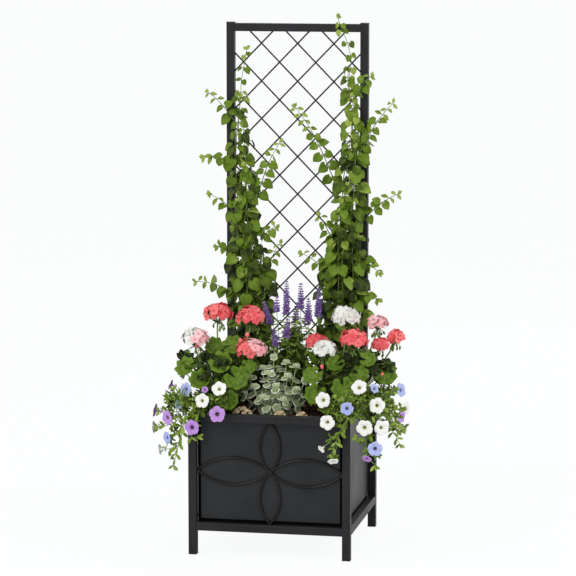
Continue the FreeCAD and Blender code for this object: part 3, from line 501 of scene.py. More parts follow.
BUD = bead(0.3)

GREEN_STEM = stem_material("green_stem", (58, 88, 30), (120, 150, 66))
VINE_STEM = stem_material("vine_stem", (62, 60, 34), (104, 128, 52))


# ------------------------------------------------------------------------ the metal


def dress_metal():
    finishes = {
        "frame_paint": powder_coat("frame_paint", (25, 26, 28), (34, 35, 37), 0.4),
        "panel_paint": powder_coat("panel_paint", (28, 30, 33), (37, 39, 42), 0.42),
        "rod_paint": powder_coat("rod_paint", (14, 14, 15), (22, 22, 23), 0.26),
        "black_plastic": black_plastic("black_plastic", (20, 20, 21), (30, 30, 31), 0.5, 0.35),
        "fastener_steel": black_steel(),
    }
    # The liner is black plastic; its near-black, dull colour is also painted shade, so the gaps round the
    # panels show as shadow.
    liner_plastic_and_shade = black_plastic("liner_plastic_and_shade", (3, 3, 3), (8, 8, 8), 0.9, 0.05)
    for row in frame["record"]["subparts"]:
        finish = liner_plastic_and_shade if row["node"] == "liner" else finishes.get(row["material_slot"])
        if finish:
            materials = frame["nodes"][row["node"]].data.materials
            materials.clear()
            materials.append(finish)


# ---------------------------------------------------------------------- soil and bark


def build_soil():
    """A block of soil with a crumbly top that is level at its edges."""
    low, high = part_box("potting_soil")
    steps = 70
    side = steps + 1
    points = []
    for row in range(side):
        for column in range(side):
            x = low.x + (high.x - low.x) * column / steps
            y = low.y + (high.y - low.y) * row / steps
            edge = min(row, column, steps - row, steps - column, 2)
            rough = noise.fractal(Vector((x, y, 0)) * 60, 1.0, 2.0, 4)
            points.append((x, y, high.z + (0.0028 + 0.0022 * rough) * edge / 2))
    faces = grid_faces(side, side)
    rim = (list(range(side)) + [row * side + steps for row in range(1, side)]
           + [steps * side + column for column in range(steps - 1, -1, -1)]
           + [row * side for row in range(steps - 1, 0, -1)])
    start = len(points)
    points.extend([(*points[index][:2], low.z) for index in rim])
    for number in range(len(rim)):
        following = (number + 1) % len(rim)
        faces.append((rim[following], rim[number], start + number, start + following))
    faces.append(tuple(range(start, start + len(rim)))[::-1])
    soil = new_object("crumbly_soil", points, faces, soil_material())
    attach(soil, "root")
    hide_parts("potting_soil")


def chip_form():
    """A rough flake of bark one unit long."""
    points = []
    for x in (-0.5, -0.1, 0.5):
        for y in (-0.22, 0.22):
            for z in (-0.09, 0.09):
                shake = jitter(0.09)
                points.append((x + shake[0], y + shake[1], z + 0.4 * shake[2]))
    faces = [(0, 1, 3, 2), (8, 10, 11, 9)]
    for start in (0, 4):
        for corners in ((0, 4, 5, 1), (2, 3, 7, 6), (1, 5, 7, 3), (0, 2, 6, 4)):
            faces.append(tuple(start + corner for corner in corners))
    return np.array(points), faces, np.zeros((len(points), 2))


def build_bark():
    chips = Bunch("bark_chips", bark_material(), "bark", ["bark_mulch"])
    low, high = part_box("bark_mulch")
    low, high = np.array(low) / MM, np.array(high) / MM
    forms = [chip_form() for _ in range(7)]
    for _ in range(1500):
        place = array(between(low[0] + 6, high[0] - 6), between(low[1] + 6, high[1] - 6),
                      low[2] + between(3.0, 8.5))
        tip = array(between(-1, 1), between(-1, 1), between(-0.3, 0.3))
        chips.add(DRAW.choice(forms), place, tip, UP + jitter(0.5), between(4, 10), DRAW.random() ** 4)
    chips.finish()


# Clusters of (x, y, radius, height).
SEDUMS = ((-75, -154, 27, 15), (21, -162, 16, 9), (75, -164, 14, 9))


def build_sedum():
    """Low clusters of rosettes with plump leaves, cream and green with red tips."""
    material = leaf_material("sedum_leaf", (168, 186, 122), (226, 230, 190), (206, 214, 160),
                             tip=(216, 96, 84), gloss=0.45)
    rosettes = Bunch("sedum_rosettes", material, "sedum_leaf", ["sedum"])
    for x, y, radius, height in SEDUMS:
        count = max(5, int(radius * 0.55))
        for number in range(count):
            turn = number * LEAF_SPIRAL
            share = sqrt((number + 0.3) / count)
            reach = radius * share
            crown = array(x + 0.8 * reach * cos(turn), y + 0.6 * reach * sin(turn),
                          BED + height * (1 - share ** 2))
            outward = unit(0.5 * (crown - array(x, y, BED - 3)) / radius + UP + 0.6 * FRONT)
            for leaf in range(13):
                angle = leaf * LEAF_SPIRAL + number
                spread = 0.25 + 0.75 * leaf / 12
                side = unit(np.cross(outward, across_floor(angle, 0.3)))
                rosettes.add(SPOON_LEAF, crown, side * spread + outward * (1.2 - spread),
                             outward - 0.5 * side, between(5.5, 7.5), between(0.1, 0.9), width=0.9)
    rosettes.finish(0.8)


# --------------------------------------------------------------------------- petals


def flower_bunches(kind, pieces, nodes, colours, streaks):
    """A bunch of petals for each colour of a kind of flower."""
    bunches = {}
    for colour, shades in colours.items():
        name = f"white_{kind}_petals" if colour == "white" else f"{colour}_petals"
        bunches[colour] = Bunch(f"{colour}_{pieces}", petal_material(name, *shades, streaks=streaks),
                                f"{colour}_petals", [f"{colour}_{nodes}"])
    return bunches


# Petal colours: face, shade, throat, where the throat ends, streak and its strength.
GERANIUM_COLOURS = {
    "coral": ((252, 128, 126), (232, 84, 92), (206, 50, 66), 0.12, (214, 74, 84)),
    "pink": ((250, 222, 222), (242, 166, 172), (222, 84, 96), 0.16, (238, 150, 158)),
    "white": ((246, 246, 243), (226, 228, 220), (196, 206, 150), 0.14, (222, 224, 214)),
}
PETUNIA_COLOURS = {
    "purple": ((204, 158, 228), (180, 128, 210), (74, 34, 104), 0.42, (116, 62, 160), 0.8),
    "blue": ((192, 204, 242), (168, 182, 232), (104, 84, 160), 0.4, (112, 108, 196), 0.7),
    "white": ((248, 248, 246), (238, 236, 234), (186, 198, 104), 0.4, (190, 190, 172), 0.5),
}

# ------------------------------------------------------------------------ geraniums

# Flower heads of (colour, x, y, z, radius).
GERANIUM_HEADS = [
    ("coral", -161, -40, 566, 39), ("coral", -81, -20, 558, 38), ("pink", -207, -85, 511, 37),
    ("coral", -66, -90, 486, 42), ("white", 152, 10, 559, 40), ("coral", 186, -70, 516, 38),
    ("coral", 85, -20, 500, 30), ("white", 119, -95, 494, 34), ("pink", 232, 5, 548, 28),
    ("coral", 245, -40, 503, 23), ("coral", 277, 0, 516, 25),
]
# The coral head that is pink on its right, by its x.
TWO_TONE_HEAD = -66
# Large leaves that face the front, of (x, y, z, width across).
GERANIUM_LEAVES = [
    (-137, -122, 465, 60), (-180, -132, 424, 56), (-94, -140, 432, 64), (-222, -95, 446, 56),
    (-115, -90, 504, 56), (-104, -172, 384, 52), (-160, -70, 492, 48), (-70, -120, 458, 42),
    (101, -140, 448, 50), (174, -150, 419, 62), (114, -172, 406, 56), (205, -120, 449, 50),
    (258, -66, 443, 64), (150, -105, 470, 46), (222, -95, 478, 44), (136, -165, 380, 44),
]
# Coral buds on their own stalks between the heads, of (x, y, z, length).
GERANIUM_BUDS = [
    (-72, -110, 526, 13), (-88, -112, 512, 12), (-62, -108, 502, 10), (119, -125, 456, 12),
    (-197, -100, 493, 14), (262, -105, 441, 9),
]
# The middle of each mound, by how far it is to its side, and its depth.
MOUND_X, MOUND_Y = 150, -70


def build_geranium_heads():
    heads = flower_bunches("geranium", "geranium_florets", "geranium_heads", GERANIUM_COLOURS, 2.0)
    stalks = Bunch("geranium_flower_stalks", GREEN_STEM, "geranium_leaf", ["geranium_stalks"])
    for colour, x, y, z, radius in GERANIUM_HEADS:
        middle = array(x, y, z)
        lean = x - copysign(MOUND_X, x)
        root = array(x - 0.75 * lean, MOUND_Y + 0.3 * (y - MOUND_Y), 380)
        crown = middle - array(0, 0, 0.42 * radius)
        stalks.tube(bend(root, crown, array(0.06 * lean, -4, 0), steps=9), 2.4, 2.0)
        count = int(30 * (radius / 38) ** 1.5) + 5
        for number in range(count):
            height = 1 - 1.12 * (number + 0.4) / count
            angle = number * FLORET_SPIRAL + between(-0.3, 0.3)
            flat = sqrt(max(1 - height ** 2, 0))
            outward = unit(flat * across_floor(angle) + UP * max(height, -0.2))
            place = middle + outward * array(1, 1, 0.84) * (radius - between(4, 9)) + array(0, 0, 2)
            floret = colour
            if x == TWO_TONE_HEAD and outward[0] + outward[2] > 0.75:
                floret = "pink"
            if colour == "pink" and x < 0 and outward[0] - 0.4 * outward[2] < -0.1:
                floret = "white"
            heads[floret].add(DRAW.choice(FLORETS), place, jitter(1.0) + FRONT, outward + jitter(0.3),
                              between(10.5, 12.5), between(0.0, 1.0))
            if height < 0.7:
                stalks.tube(bend(crown, place - 2 * outward, array(0, 0, -2.0), steps=4), 0.9, 0.8, sides=5)
        for _ in range(9):
            angle = between(0, FULL_TURN)
            reach = between(0.2, 0.62) * radius
            foot = crown + reach * across_floor(angle) - UP * between(3, 12)
            stalks.tube(bend(crown, foot, array(0, 0, 3), steps=4), 0.8, 0.8, sides=5)
            stalks.add(BUD, foot, -UP + jitter(0.4), FRONT + jitter(0.3), between(7, 11), between(0.3, 1.0))
    for x, y, z, length in GERANIUM_BUDS:
        heads["coral"].add(BUD, array(x, y, z), UP + jitter(0.5), FRONT, length, 0.8, width=1.3)
        stalks.tube(bend(array(x, y, z + 1), array(0.94 * x, y + 12, z - 46), jitter(3), steps=5), 1.0, 1.2)
    for bunch in heads.values():
        bunch.finish()
    stalks.finish()


def build_geranium_leaves():
    leaf = leaf_material("geranium_leaf", (20, 34, 4), (88, 118, 26), (156, 176, 90), young=(112, 140, 44),
                         veins=7.0, radial=True, band=(44, 60, 14), vein_strength=0.42)
    for side, sign in SIDES:
        node = f"{side}_geranium_leaves"
        mound = Bunch(f"{side}_geranium_foliage", leaf, "geranium_leaf", [node])
        stems = Bunch(f"{side}_geranium_stems", GREEN_STEM, "geranium_leaf")
        heart = array(sign * MOUND_X, MOUND_Y, 365)

        def grow(place, normal, width, tint):
            tip = unit(place - heart) + array(0, -0.2, -0.5)
            mound.add(DRAW.choice(ROUND_LEAVES), place, tip, normal, width, tint)
            stems.tube(bend(heart + 0.3 * (place - heart), place, array(0, 0, -5)), 1.6, 1.2)

        for x, y, z, width in GERANIUM_LEAVES:
            if x * sign > 0:
                outward = unit(array(x, y, z) - heart)
                grow(array(x, y - 6, z), FRONT * 0.9 + outward * 0.35 + UP * 0.45 + jitter(0.15), width,
                     between(0.6, 1.0))
        # Leaves set inside the mound get lower tints than the big front leaves, as painted shade.
        for place, outward in scatter(node, 112, 16, low=350):
            if outward[2] >= -0.97:
                grow(place - outward * between(6, 18), outward + UP * 0.5 + FRONT * 0.3 + jitter(0.25),
                     between(36, 50), between(-0.4, 0.55))
        mound.finish(0.5)
        stems.finish()


# ----------------------------------------------------- the silver plant and the salvia


def leafy_stem(leaves, stems, path, form, pairs, first, last, radius, tilt=0.5, width=1.0, tints=(0.3, 0.8),
               start=0.25, clear=None, facing=None):
    """A stem with pairs of leaves that get smaller from first to last towards its tip."""
    path = np.array(path, float)
    stems.tube(path, radius, radius * 0.6)
    travelled = np.concatenate([[0], np.cumsum(norm(np.diff(path, axis=0), axis=1))])
    turn = between(0, pi)
    for number in range(pairs):
        share = start + (1 - start) * number / max(pairs - 1, 1)
        where = share * travelled[-1]
        index = max(min(int(np.searchsorted(travelled, where)), len(path) - 1), 1)
        step = path[index] - path[index - 1]
        part = (where - travelled[index - 1]) / max(travelled[index] - travelled[index - 1], 1e-6)
        place = path[index - 1] + part * step
        ahead = unit(step)
        turn += pi / 2 + between(-0.3, 0.3)
        across = unit(np.cross(ahead, array(0.3, 1.0, 0.2)))
        other = np.cross(ahead, across)
        size = first + (last - first) * share
        for half in (0, pi):
            side = cos(turn + half) * across + sin(turn + half) * other
            along = side + tilt * ahead + jitter(0.15)
            if clear is not None and clear(place + 0.5 * size * unit(along)):
                continue
            normal = ahead + 0.25 * FRONT if facing is None else facing + 0.3 * side
            leaves.add(form, place, along, normal + jitter(0.2), size * between(0.85, 1.15),
                       between(*tints), width=width)


# Tips of the silver plant's stems, of (x, y, z).
SILVER_TIPS = [
    (-8, -98, 476), (22, -92, 462), (-36, -100, 448), (48, -98, 454), (-66, -112, 426), (72, -108, 424),
    (-16, -128, 440), (32, -128, 434), (-50, -134, 408), (56, -134, 404), (6, -142, 412), (-76, -124, 386),
    (80, -122, 384), (-24, -148, 384), (26, -150, 380), (2, -72, 436),
]


def build_silver_plant():
    material = leaf_material("silver_leaf", (104, 124, 76), (156, 172, 126), (188, 198, 160), gloss=0.6,
                             rim=(226, 230, 204))
    leaves = Bunch("silver_leaves", material, "silver_leaf", ["silver_plant"])
    stem = stem_material("silver_stem", (128, 140, 104), (184, 194, 158))
    stems = Bunch("silver_stems", stem, "silver_leaf")
    for x, y, z in SILVER_TIPS:
        foot = array(0.12 * x, -98 + 0.1 * (y + 98), 345)
        tip = array(x, y, z)
        path = bend(foot, tip, array(0.12 * x, -4, -6), steps=7)
        leafy_stem(leaves, stems, path, SPOON_LEAF, max(3, int((z - 345) / 23)), 30, 18, 1.5, tilt=0.35,
                   width=1.05, tints=(0.1, 0.9), start=0.3)
        for turn in (-0.8, 0.8):
            leaves.add(SPOON_LEAF, tip, UP + array(turn, 0.2 * turn, 0), FRONT + 0.3 * UP, 11, 0.85)
    for number in range(13):
        angle = pi * (1.0 + number / 12)
        outward = across_floor(angle)
        place = array(0, -104, 352) + outward * between(14, 42) * array(1.25, 0.75, 1)
        leaves.add(SPOON_LEAF, place, outward + 0.1 * UP, UP + 0.8 * outward, between(20, 26),
                   between(0.2, 0.7))
    leaves.finish(0.6)
    stems.finish()


# Salvia spikes of (x, y, foot, height, lean to the right).
SALVIA_SPIKES = [
    (0, 25, 566, 80, 0), (35, 30, 580, 60, 0), (80, 20, 563, 66, 2), (60, 10, 553, 53, -2),
    (-23, 17, 573, 33, 0), (-40, 15, 541, 52, -14), (7, -10, 513, 43, 3), (-18, -20, 493, 37, -4),
    (18, 50, 542, 45, 3), (47, 55, 537, 45, 0),
]


def build_salvia():
    flower = petal_material("salvia_petals", (158, 120, 200), (104, 70, 156), (78, 48, 124), 0.2,
                            (126, 88, 176))
    leaf = leaf_material("salvia_leaf", (34, 52, 12), (116, 146, 50), (156, 178, 92), young=(150, 174, 82),
                         veins=5.0)
    spikes = Bunch("salvia_flower_spikes", flower, "salvia_flowers", ["salvia_spikes"])
    leaves = Bunch("salvia_foliage", leaf, "salvia_leaf", ["salvia_leaves"])
    stems = Bunch("salvia_stems", GREEN_STEM, "salvia_leaf")
    bud = bead(0.34, bow=0.3)
    for x, y, foot, height, lean in SALVIA_SPIKES:
        bottom = array(x, y, foot)
        top = array(x + lean, y, foot + height)
        root = array(12 + 0.45 * (x - 12), 28 + 0.45 * (y - 28), 350)
        path = list(bend(root, bottom, array(0.05 * x, 0, 0), steps=8)) + [bottom * 0.5 + top * 0.5, top]
        leafy_stem(leaves, stems, path[:8], LANCE_LEAF, 9, 27, 15, 1.3, tilt=0.9, width=1.2, start=0.15)
        stems.tube(path[7:], 1.2, 0.7)
        whorls = max(5, int(height / 5.2))
        for whorl in range(whorls):
            share = whorl / (whorls - 1)
            count = 7 if share < 0.7 else 5
            for number in range(count):
                angle = FULL_TURN * (number + 0.5 * (whorl % 2)) / count + between(-0.25, 0.25)
                outward = across_floor(angle)
                size = (8.6 - 4.6 * share ** 1.5) * between(0.85, 1.15)
                place = bottom + (top - bottom) * share + outward * 1.4
                spikes.add(bud, place, outward + UP * (0.55 + share), UP, size, between(0.0, 1.0))
        spikes.add(bud, top, UP, FRONT, 5.5, 0.7)
    for _ in range(40):
        angle = between(0, FULL_TURN)
        reach = between(6, 46)
        right, back = reach * cos(angle), reach * sin(angle)
        root = array(12 + 0.3 * right, 30 + 0.3 * back, 348)
        tip = array(15 + 1.35 * right, 25 + 0.9 * back, between(480, 572) - 0.8 * reach)
        path = bend(root, tip, array(0.1 * right, 0, 0), steps=8)
        leafy_stem(leaves, stems, path, LANCE_LEAF, 12, 33, 17, 1.2, tilt=0.9, width=1.2, tints=(0.0, 1.0),
                   start=0.12)
    leaves.finish(0.4)
    spikes.finish()
    stems.finish()


# ------------------------------------------------------------------------- petunias

# Open petunias of (x, y, z, turn to the right, tilt up, share of the full size).
PETUNIAS = {
    "left": {
        "purple": [
            (-121, -228, 355, 0, 8, 1), (-183, -231, 321, -8, 0, 0.95), (-252, -200, 337, -36, 0, 0.9),
            (-294, -150, 345, -94, 6, 0.8), (-264, -110, 403, -96, 24, 0.7),
            (-154, -215, 412, -5, 20, 0.42),
        ],
        "blue": [
            (-206, -196, 408, -22, 12, 0.84), (-221, -206, 371, -20, 0, 0.58),
            (-252, -203, 288, -44, 0, 0.78),
        ],
        "white": [
            (-157, -233, 388, -5, 8, 0.92), (-120, -210, 415, 0, 36, 0.95),
            (-289, -186, 310, -92, -6, 0.78), (-271, -196, 257, -94, -10, 0.7),
        ],
    },
    "right": {
        "white": [
            (149, -231, 345, 0, 0, 0.95), (135, -212, 396, -10, 15, 0.95), (220, -195, 427, 0, 30, 0.92),
            (264, -196, 384, 8, 8, 0.95), (237, -215, 332, 5, 0, 1), (275, -195, 330, 24, 0, 0.95),
            (308, -5, 346, 80, 4, 0.85), (310, -10, 297, 84, -8, 0.62), (134, -228, 279, -35, -30, 0.5),
            (162, -222, 249, 10, -50, 0.7),
        ],
        "blue": [
            (197, -233, 381, 0, 0, 0.8), (252, -160, 419, 46, 24, 0.6), (300, -50, 398, 64, 14, 0.85),
            (262, -210, 281, 5, 0, 0.95),
        ],
        "purple": [
            (300, -45, 331, 64, 0, 0.82), (242, -210, 256, -6, -46, 0.62),
        ],
    },
}
BLOOM_RADIUS = 20
# Trailing strands, each a row of points from its root to its tip.
STRANDS = {
    "left": [
        [(-199, -212, 356), (-207, -214, 325), (-213, -210, 303), (-220, -206, 281), (-225, -204, 262),
         (-231, -202, 244), (-236, -200, 220)],
        [(-225, -204, 269), (-243, -200, 260), (-259, -196, 258)],
        [(-210, -208, 345), (-225, -205, 333), (-243, -200, 321), (-262, -195, 314), (-276, -190, 311)],
        [(-192, -218, 351), (-195, -222, 337), (-190, -228, 314), (-183, -228, 293), (-171, -228, 297)],
        [(-205, -200, 358), (-216, -200, 361), (-238, -190, 379), (-249, -185, 380)],
        [(-204, -190, 370), (-214, -190, 373), (-231, -178, 388), (-242, -165, 399)],
        [(-212, -200, 354), (-231, -195, 352), (-255, -186, 350), (-275, -178, 349)],
        [(-212, -210, 320), (-225, -204, 298), (-243, -200, 286)],
        [(-166, -215, 365), (-168, -224, 353), (-176, -228, 339)],
    ],
    "right": [
        [(205, -215, 364), (198, -224, 352), (183, -228, 331), (174, -226, 310), (166, -224, 288),
         (158, -222, 267)],
        [(264, -196, 356), (286, -182, 337), (299, -174, 318), (309, -168, 300), (314, -162, 286)],
        [(272, -180, 360), (281, -150, 359), (291, -110, 357), (304, -80, 359)],
        [(267, -170, 376), (273, -130, 383), (280, -100, 392), (291, -80, 400)],
        [(245, -196, 338), (244, -198, 317), (238, -206, 296), (240, -208, 271), (253, -206, 250),
         (261, -204, 240)],
        [(278, -170, 345), (289, -130, 338), (296, -90, 338)],
        [(297, -160, 326), (305, -120, 315), (312, -90, 312)],
        [(191, -214, 371), (177, -212, 387), (168, -212, 399)],
        [(198, -214, 374), (191, -212, 388), (186, -212, 396)],
        [(239, -212, 351), (222, -214, 365), (212, -212, 382)],
        [(240, -216, 303), (228, -218, 307), (218, -218, 306)],
    ],
}
# Sideways in the picture, from x and y, and how far the mounds spread that way.
SIDEWAYS = (0.98, 0.19)
SPREAD_LEFT, SPREAD_RIGHT = -284, 262
# Left of this, the mound is no higher than that.
LOW_LEFT, LOW_TOP = -250, 384


def bloom_facing(turn, tilt):
    """The direction that a bloom faces."""
    turn, tilt = radians(turn), radians(tilt)
    return array(cos(tilt) * sin(turn), -cos(tilt) * cos(turn), sin(tilt))


# The petunias of each side as (colour, place, facing, share).
BLOOMS = {
    side: [(colour, array(*row[:3]), bloom_facing(*row[3:5]), row[5]) for colour, rows in colours.items()
           for row in rows]
    for side, colours in PETUNIAS.items()
}


def hides_bloom(place):
    """Whether a leaf at a place would stand in front of an open petunia."""
    for _, middle, facing, share in BLOOMS["left"] + BLOOMS["right"]:
        apart = place - middle
        ahead = np.dot(apart, facing)
        if -7 < ahead < 45 and norm(apart - ahead * facing) < BLOOM_RADIUS * share + 8:
            return True
    return False


def small_leaf(leaves, place, along, normal, length, tint):
    """A small leaf, left out where it would hide a bloom."""
    if not hides_bloom(place + 0.5 * length * unit(along)):
        leaves.add(BROAD_LANCE, place, along, normal, length, tint)


def within_spread(place, _):
    """Whether a place is inside the spread of the petunia mounds, which thin out to each side."""
    sideways = SIDEWAYS[0] * place[0] + SIDEWAYS[1] * place[1]
    if place[0] < 0:
        return sideways > SPREAD_LEFT and not (sideways < LOW_LEFT and place[2] > LOW_TOP)
    return sideways < SPREAD_RIGHT


def tuft(leaves, stems, foot, outward, tint):
    """A short shoot with a spray of small leaves."""
    tip = foot + outward * between(10, 20) + jitter(3)
    stems.tube([foot, tip], 0.9, 0.6, tint=0.7, sides=4)
    turn = between(0, pi)
    for number in range(7):
        turn += LEAF_SPIRAL
        side = unit(np.cross(outward, across_view(turn, 0.2)))
        place = foot + (tip - foot) * (0.25 + 0.125 * number)
        small_leaf(leaves, place, side + 0.7 * outward, outward + 0.4 * FRONT + 0.5 * UP - 0.5 * side,
                   between(11, 17), tint + between(-0.3, 0.3))


def trail(leaves, stems, strand):
    """A trailing strand with pairs of leaves and a few young ones at its tip."""
    strand = np.array(strand, float)
    path = []
    for first, second in zip(strand, strand[1:]):
        for share in (0.0, 0.34, 0.67):
            path.append(first + share * (second - first) + jitter(1.2))
    path.append(strand[-1])
    length = sum(norm(second - first) for first, second in zip(path, path[1:]))
    leafy_stem(leaves, stems, path, BROAD_LANCE, max(3, int(length / 14)), 23, 16, 1.3, tilt=0.8, width=1.1,
               tints=(0.4, 1.1), start=0.05, clear=hides_bloom, facing=0.9 * FRONT + 0.4 * UP)
    ahead = unit(path[-1] - path[-2])
    for _ in range(4):
        small_leaf(leaves, path[-1], ahead + jitter(0.7), FRONT + jitter(0.5), between(10, 15), 1.0)


def build_petunias():
    leaf = leaf_material("petunia_leaf", (24, 38, 6), (112, 140, 44), (150, 172, 84), young=(160, 184, 90),
                         veins=4.0)
    flowers = flower_bunches("petunia", "petunia_flowers", "petunias", PETUNIA_COLOURS, 15.0)
    anthers = petal_material("petunia_anthers", (226, 214, 120), (188, 176, 84), (160, 150, 70), 0.2,
                             (190, 180, 90))
    centres = Bunch("petunia_centres", anthers, "petunia_leaf")
    for side, sign in SIDES:
        node = f"{side}_petunia_leaves"
        leaves = Bunch(f"{side}_petunia_foliage", leaf, "petunia_leaf", [node])
        stems = Bunch(f"{side}_petunia_stems", GREEN_STEM, "petunia_leaf")
        heart = array(sign * 205, -180, 366)
        for place, outward in scatter(node, 210, 11, 352, within_spread):
            tuft(leaves, stems, place - outward * between(14, 26), outward, between(0.1, 0.8))
        for place, outward in scatter(node, 26, 22, 262, within_spread):
            tuft(leaves, stems, place - outward * between(14, 22), unit(outward - 0.5 * UP),
                 between(0.3, 0.8))
        for strand in STRANDS[side]:
            trail(leaves, stems, strand)
        for colour, place, facing, share in BLOOMS[side]:
            radius = BLOOM_RADIUS * share * between(0.96, 1.06)
            flowers[colour].add(DRAW.choice(TRUMPETS), place, UP + jitter(0.5), facing + jitter(0.08), radius,
                                between(0.35, 1.0))
            back = place - facing * radius
            for number in range(5):
                angle = FULL_TURN * number / 5
                spread = across_view(angle) * 0.45
                leaves.add(LANCE_LEAF, back - facing * 1.5, facing + spread, -facing + spread,
                           0.62 * radius, 0.7, width=1.3)
            root = back + 0.3 * (heart - back) + jitter(4)
            stems.tube(bend(root, back, array(0, 0, -3)), 1.3, 1.1)
            for number in range(4):
                angle = pi / 4 + pi / 2 * number
                offset = across_view(angle) * 0.05 * radius
                centres.add(BUD, place - facing * 0.55 * radius + offset, facing, UP, 0.17 * radius, 0.6)
        leaves.finish(0.4)
        stems.finish()
    for bunch in flowers.values():
        bunch.finish(0.4)
    centres.finish()


# ------------------------------------------------------------------------- the vines

# The line up the middle of each vine, of (x, z, half width).
VINE_LINES = {
    "left": [(-114, 350, 50), (-111, 420, 52), (-109, 500, 53), (-111, 575, 53), (-115, 640, 52),
             (-122, 700, 48), (-129, 765, 46), (-130, 825, 44), (-133, 880, 40), (-138, 935, 34),
             (-143, 990, 30), (-143, 1045, 29), (-140, 1090, 27), (-141, 1135, 26), (-134, 1180, 22),
             (-128, 1212, 14)],
    "right": [(122, 350, 46), (118, 420, 51), (115, 500, 53), (117, 570, 53), (121, 640, 51),
              (126, 700, 49), (132, 760, 47), (138, 820, 46), (142, 880, 43), (146, 940, 38),
              (150, 990, 32), (146, 1040, 28), (138, 1090, 27), (131, 1140, 26), (137, 1190, 22),
              (126, 1237, 18), (112, 1268, 12), (105, 1292, 7)],
}
# Side shoots of (x, z) at the foot and at the tip.
VINE_SHOOTS = {
    "left": [((-151, 1025), (-222, 1105)), ((-147, 923), (-236, 941)), ((-140, 785), (-219, 849)),
             ((-140, 585), (-256, 626)), ((-100, 834), (-38, 982)), ((-80, 633), (-38, 728)),
             ((-140, 700), (-200, 716)), ((-90, 735), (-48, 770))],
    "right": [((153, 931), (248, 1085)), ((170, 785), (262, 858)), ((160, 690), (215, 660)),
              ((103, 877), (0, 1071)), ((95, 641), (17, 704)), ((150, 600), (212, 590)),
              ((155, 545), (208, 545)), ((160, 1110), (192, 1150)), ((95, 735), (62, 800))],
}
# Stems of each vine: how far across its half width, how much of its height, and how far forward.
VINE_STEMS = [(0.05, 1.0, 0.6), (-0.6, 0.86, 0.9), (0.6, 0.82, 1.0), (0.2, 0.66, 1.4), (-0.9, 0.5, 0.5),
              (0.95, 0.42, 0.6), (-0.3, 0.56, 1.5)]
# How far back the vines' middle is, and the trellis's rear face.
VINE_FACE = 160
TRELLIS_BACK = 183
# How far along a stem its pairs of leaves are apart.
VINE_GAP = 29


def line_at(line, z):
    """The middle and the half width of a vine at a height."""
    middles, heights, halves = zip(*line)
    return np.interp(z, heights, middles), np.interp(z, heights, halves)


def stalked(leaves, stems, form, node, along, normal, size, tint, stalk=0.28):
    """A leaf on a little stalk from its node on a stem."""
    foot = node + unit(along * array(1, 1, 0.2) + 0.25 * UP) * stalk * size
    stems.tube(bend(node, foot, array(0, 0, 0.06 * size), steps=4), 0.9, 0.7, tint=0.8, sides=5)
    leaves.add(form, foot, along, normal, size, tint)


def leaf_pair(leaves, stems, node, across, size, tint, drop):
    """Two opposite leaves whose tips hang outward and down."""
    for way in (-1, 1):
        outward = way * across + jitter(0.22)
        along = outward * 0.8 - UP * drop * between(0.5, 1.3)
        normal = FRONT * 0.75 + UP * 0.5 + 0.4 * outward + jitter(0.38)
        # The tint spread leans dark, so some leaves carry painted shade among the others.
        stalked(leaves, stems, DRAW.choice(HEART_LEAVES), node, along, normal, size * between(0.75, 1.15),
                tint + between(-0.5, 0.3), stalk=between(0.25, 0.5))


def young_tip(leaves, tip, ahead, spread, shortest):
    """Three young leaves at the end of a stem."""
    for _ in range(3):
        leaves.add(YOUNG_LEAF, tip, ahead + jitter(spread), FRONT + jitter(0.4),
                   between(shortest, shortest + 4), 1.1)


def climb(leaves, stems, line, across, reach, forward, phase):
    """One stem of a vine with its pairs of leaves, from the bed to its own height."""
    bottom, top = line[0][1], line[-1][1]
    end = bottom + (top - bottom) * reach
    path = []
    for z in np.linspace(bottom, end, int((end - bottom) / 15)):
        x, half = line_at(line, z)
        taper = 1 - 0.75 * ((z - bottom) / (top - bottom)) ** 2
        swing = 0.16 * half * sin(z / 60 + phase)
        depth = 8 + 0.62 * half * forward * taper + 3 * sin(z / 45 + 2 * phase)
        path.append(array(x + (across * taper) * (half - 12) + swing, VINE_FACE - depth, z))
    path[0] = array(path[0][0] * 0.98, 140, BED)
    stems.tube(path, 2.4, 0.8)
    travelled = between(0, 20)
    turn = phase
    for first, second in zip(path, path[1:]):
        travelled += norm(second - first)
        share = (second[2] - bottom) / (top - bottom)
        own = (second[2] - bottom) / (end - bottom)
        if travelled < VINE_GAP:
            continue
        travelled -= VINE_GAP
        turn += 1.3
        direction = unit(array(cos(turn) * 1.2, -0.55 * abs(sin(turn)), 0))
        size = (31 - 6 * share) * (1 - 0.45 * max(own - 0.75, 0) / 0.25)
        # Leaves are paler higher up and near the stem's tip, where they are young, and darker on stems set
        # further back, as painted shade.
        tint = 0.2 + 0.5 * share + 0.3 * max(own - 0.6, 0) + 0.14 * forward
        leaf_pair(leaves, stems, second, direction, size, tint, 1.0 - 0.3 * share)
    young_tip(leaves, path[-1], UP, 0.7, 10)


def fill_column(leaves, stems, side, line):
    """Leaves close to the trellis: shaded ones behind the stems in front, and ones behind it."""
    bottom, top = line[0][1], line[-1][1]
    for _ in range(45):
        z = bottom + (top - bottom) * (0.5 * DRAW.random() ** 1.3)
        x, half = line_at(line, z)
        across = between(-0.6, 0.6)
        place = array(x + across * (half - 16), VINE_FACE - between(6, 0.3 * half), z)
        outward = array(across, -0.3, 0.1)
        # These leaves get the lowest tints, as painted shade behind the stems in front.
        stalked(leaves, stems, DRAW.choice(HEART_LEAVES), place, outward - 0.8 * UP + jitter(0.4),
                FRONT + 0.4 * UP + 0.4 * outward + jitter(0.5), between(22, 30), between(-0.5, 0.0))
    behind = scatter(f"{side}_vine", 80, 26,
                     accept=lambda place, outward: place[1] > TRELLIS_BACK and outward[1] > -0.3)
    for place, outward in behind:
        inside = place - outward * between(8, 16)
        stalked(leaves, stems, DRAW.choice(HEART_LEAVES), inside, -UP + outward + jitter(0.4),
                outward + 0.4 * UP + jitter(0.3), between(22, 30), between(0.0, 0.7))


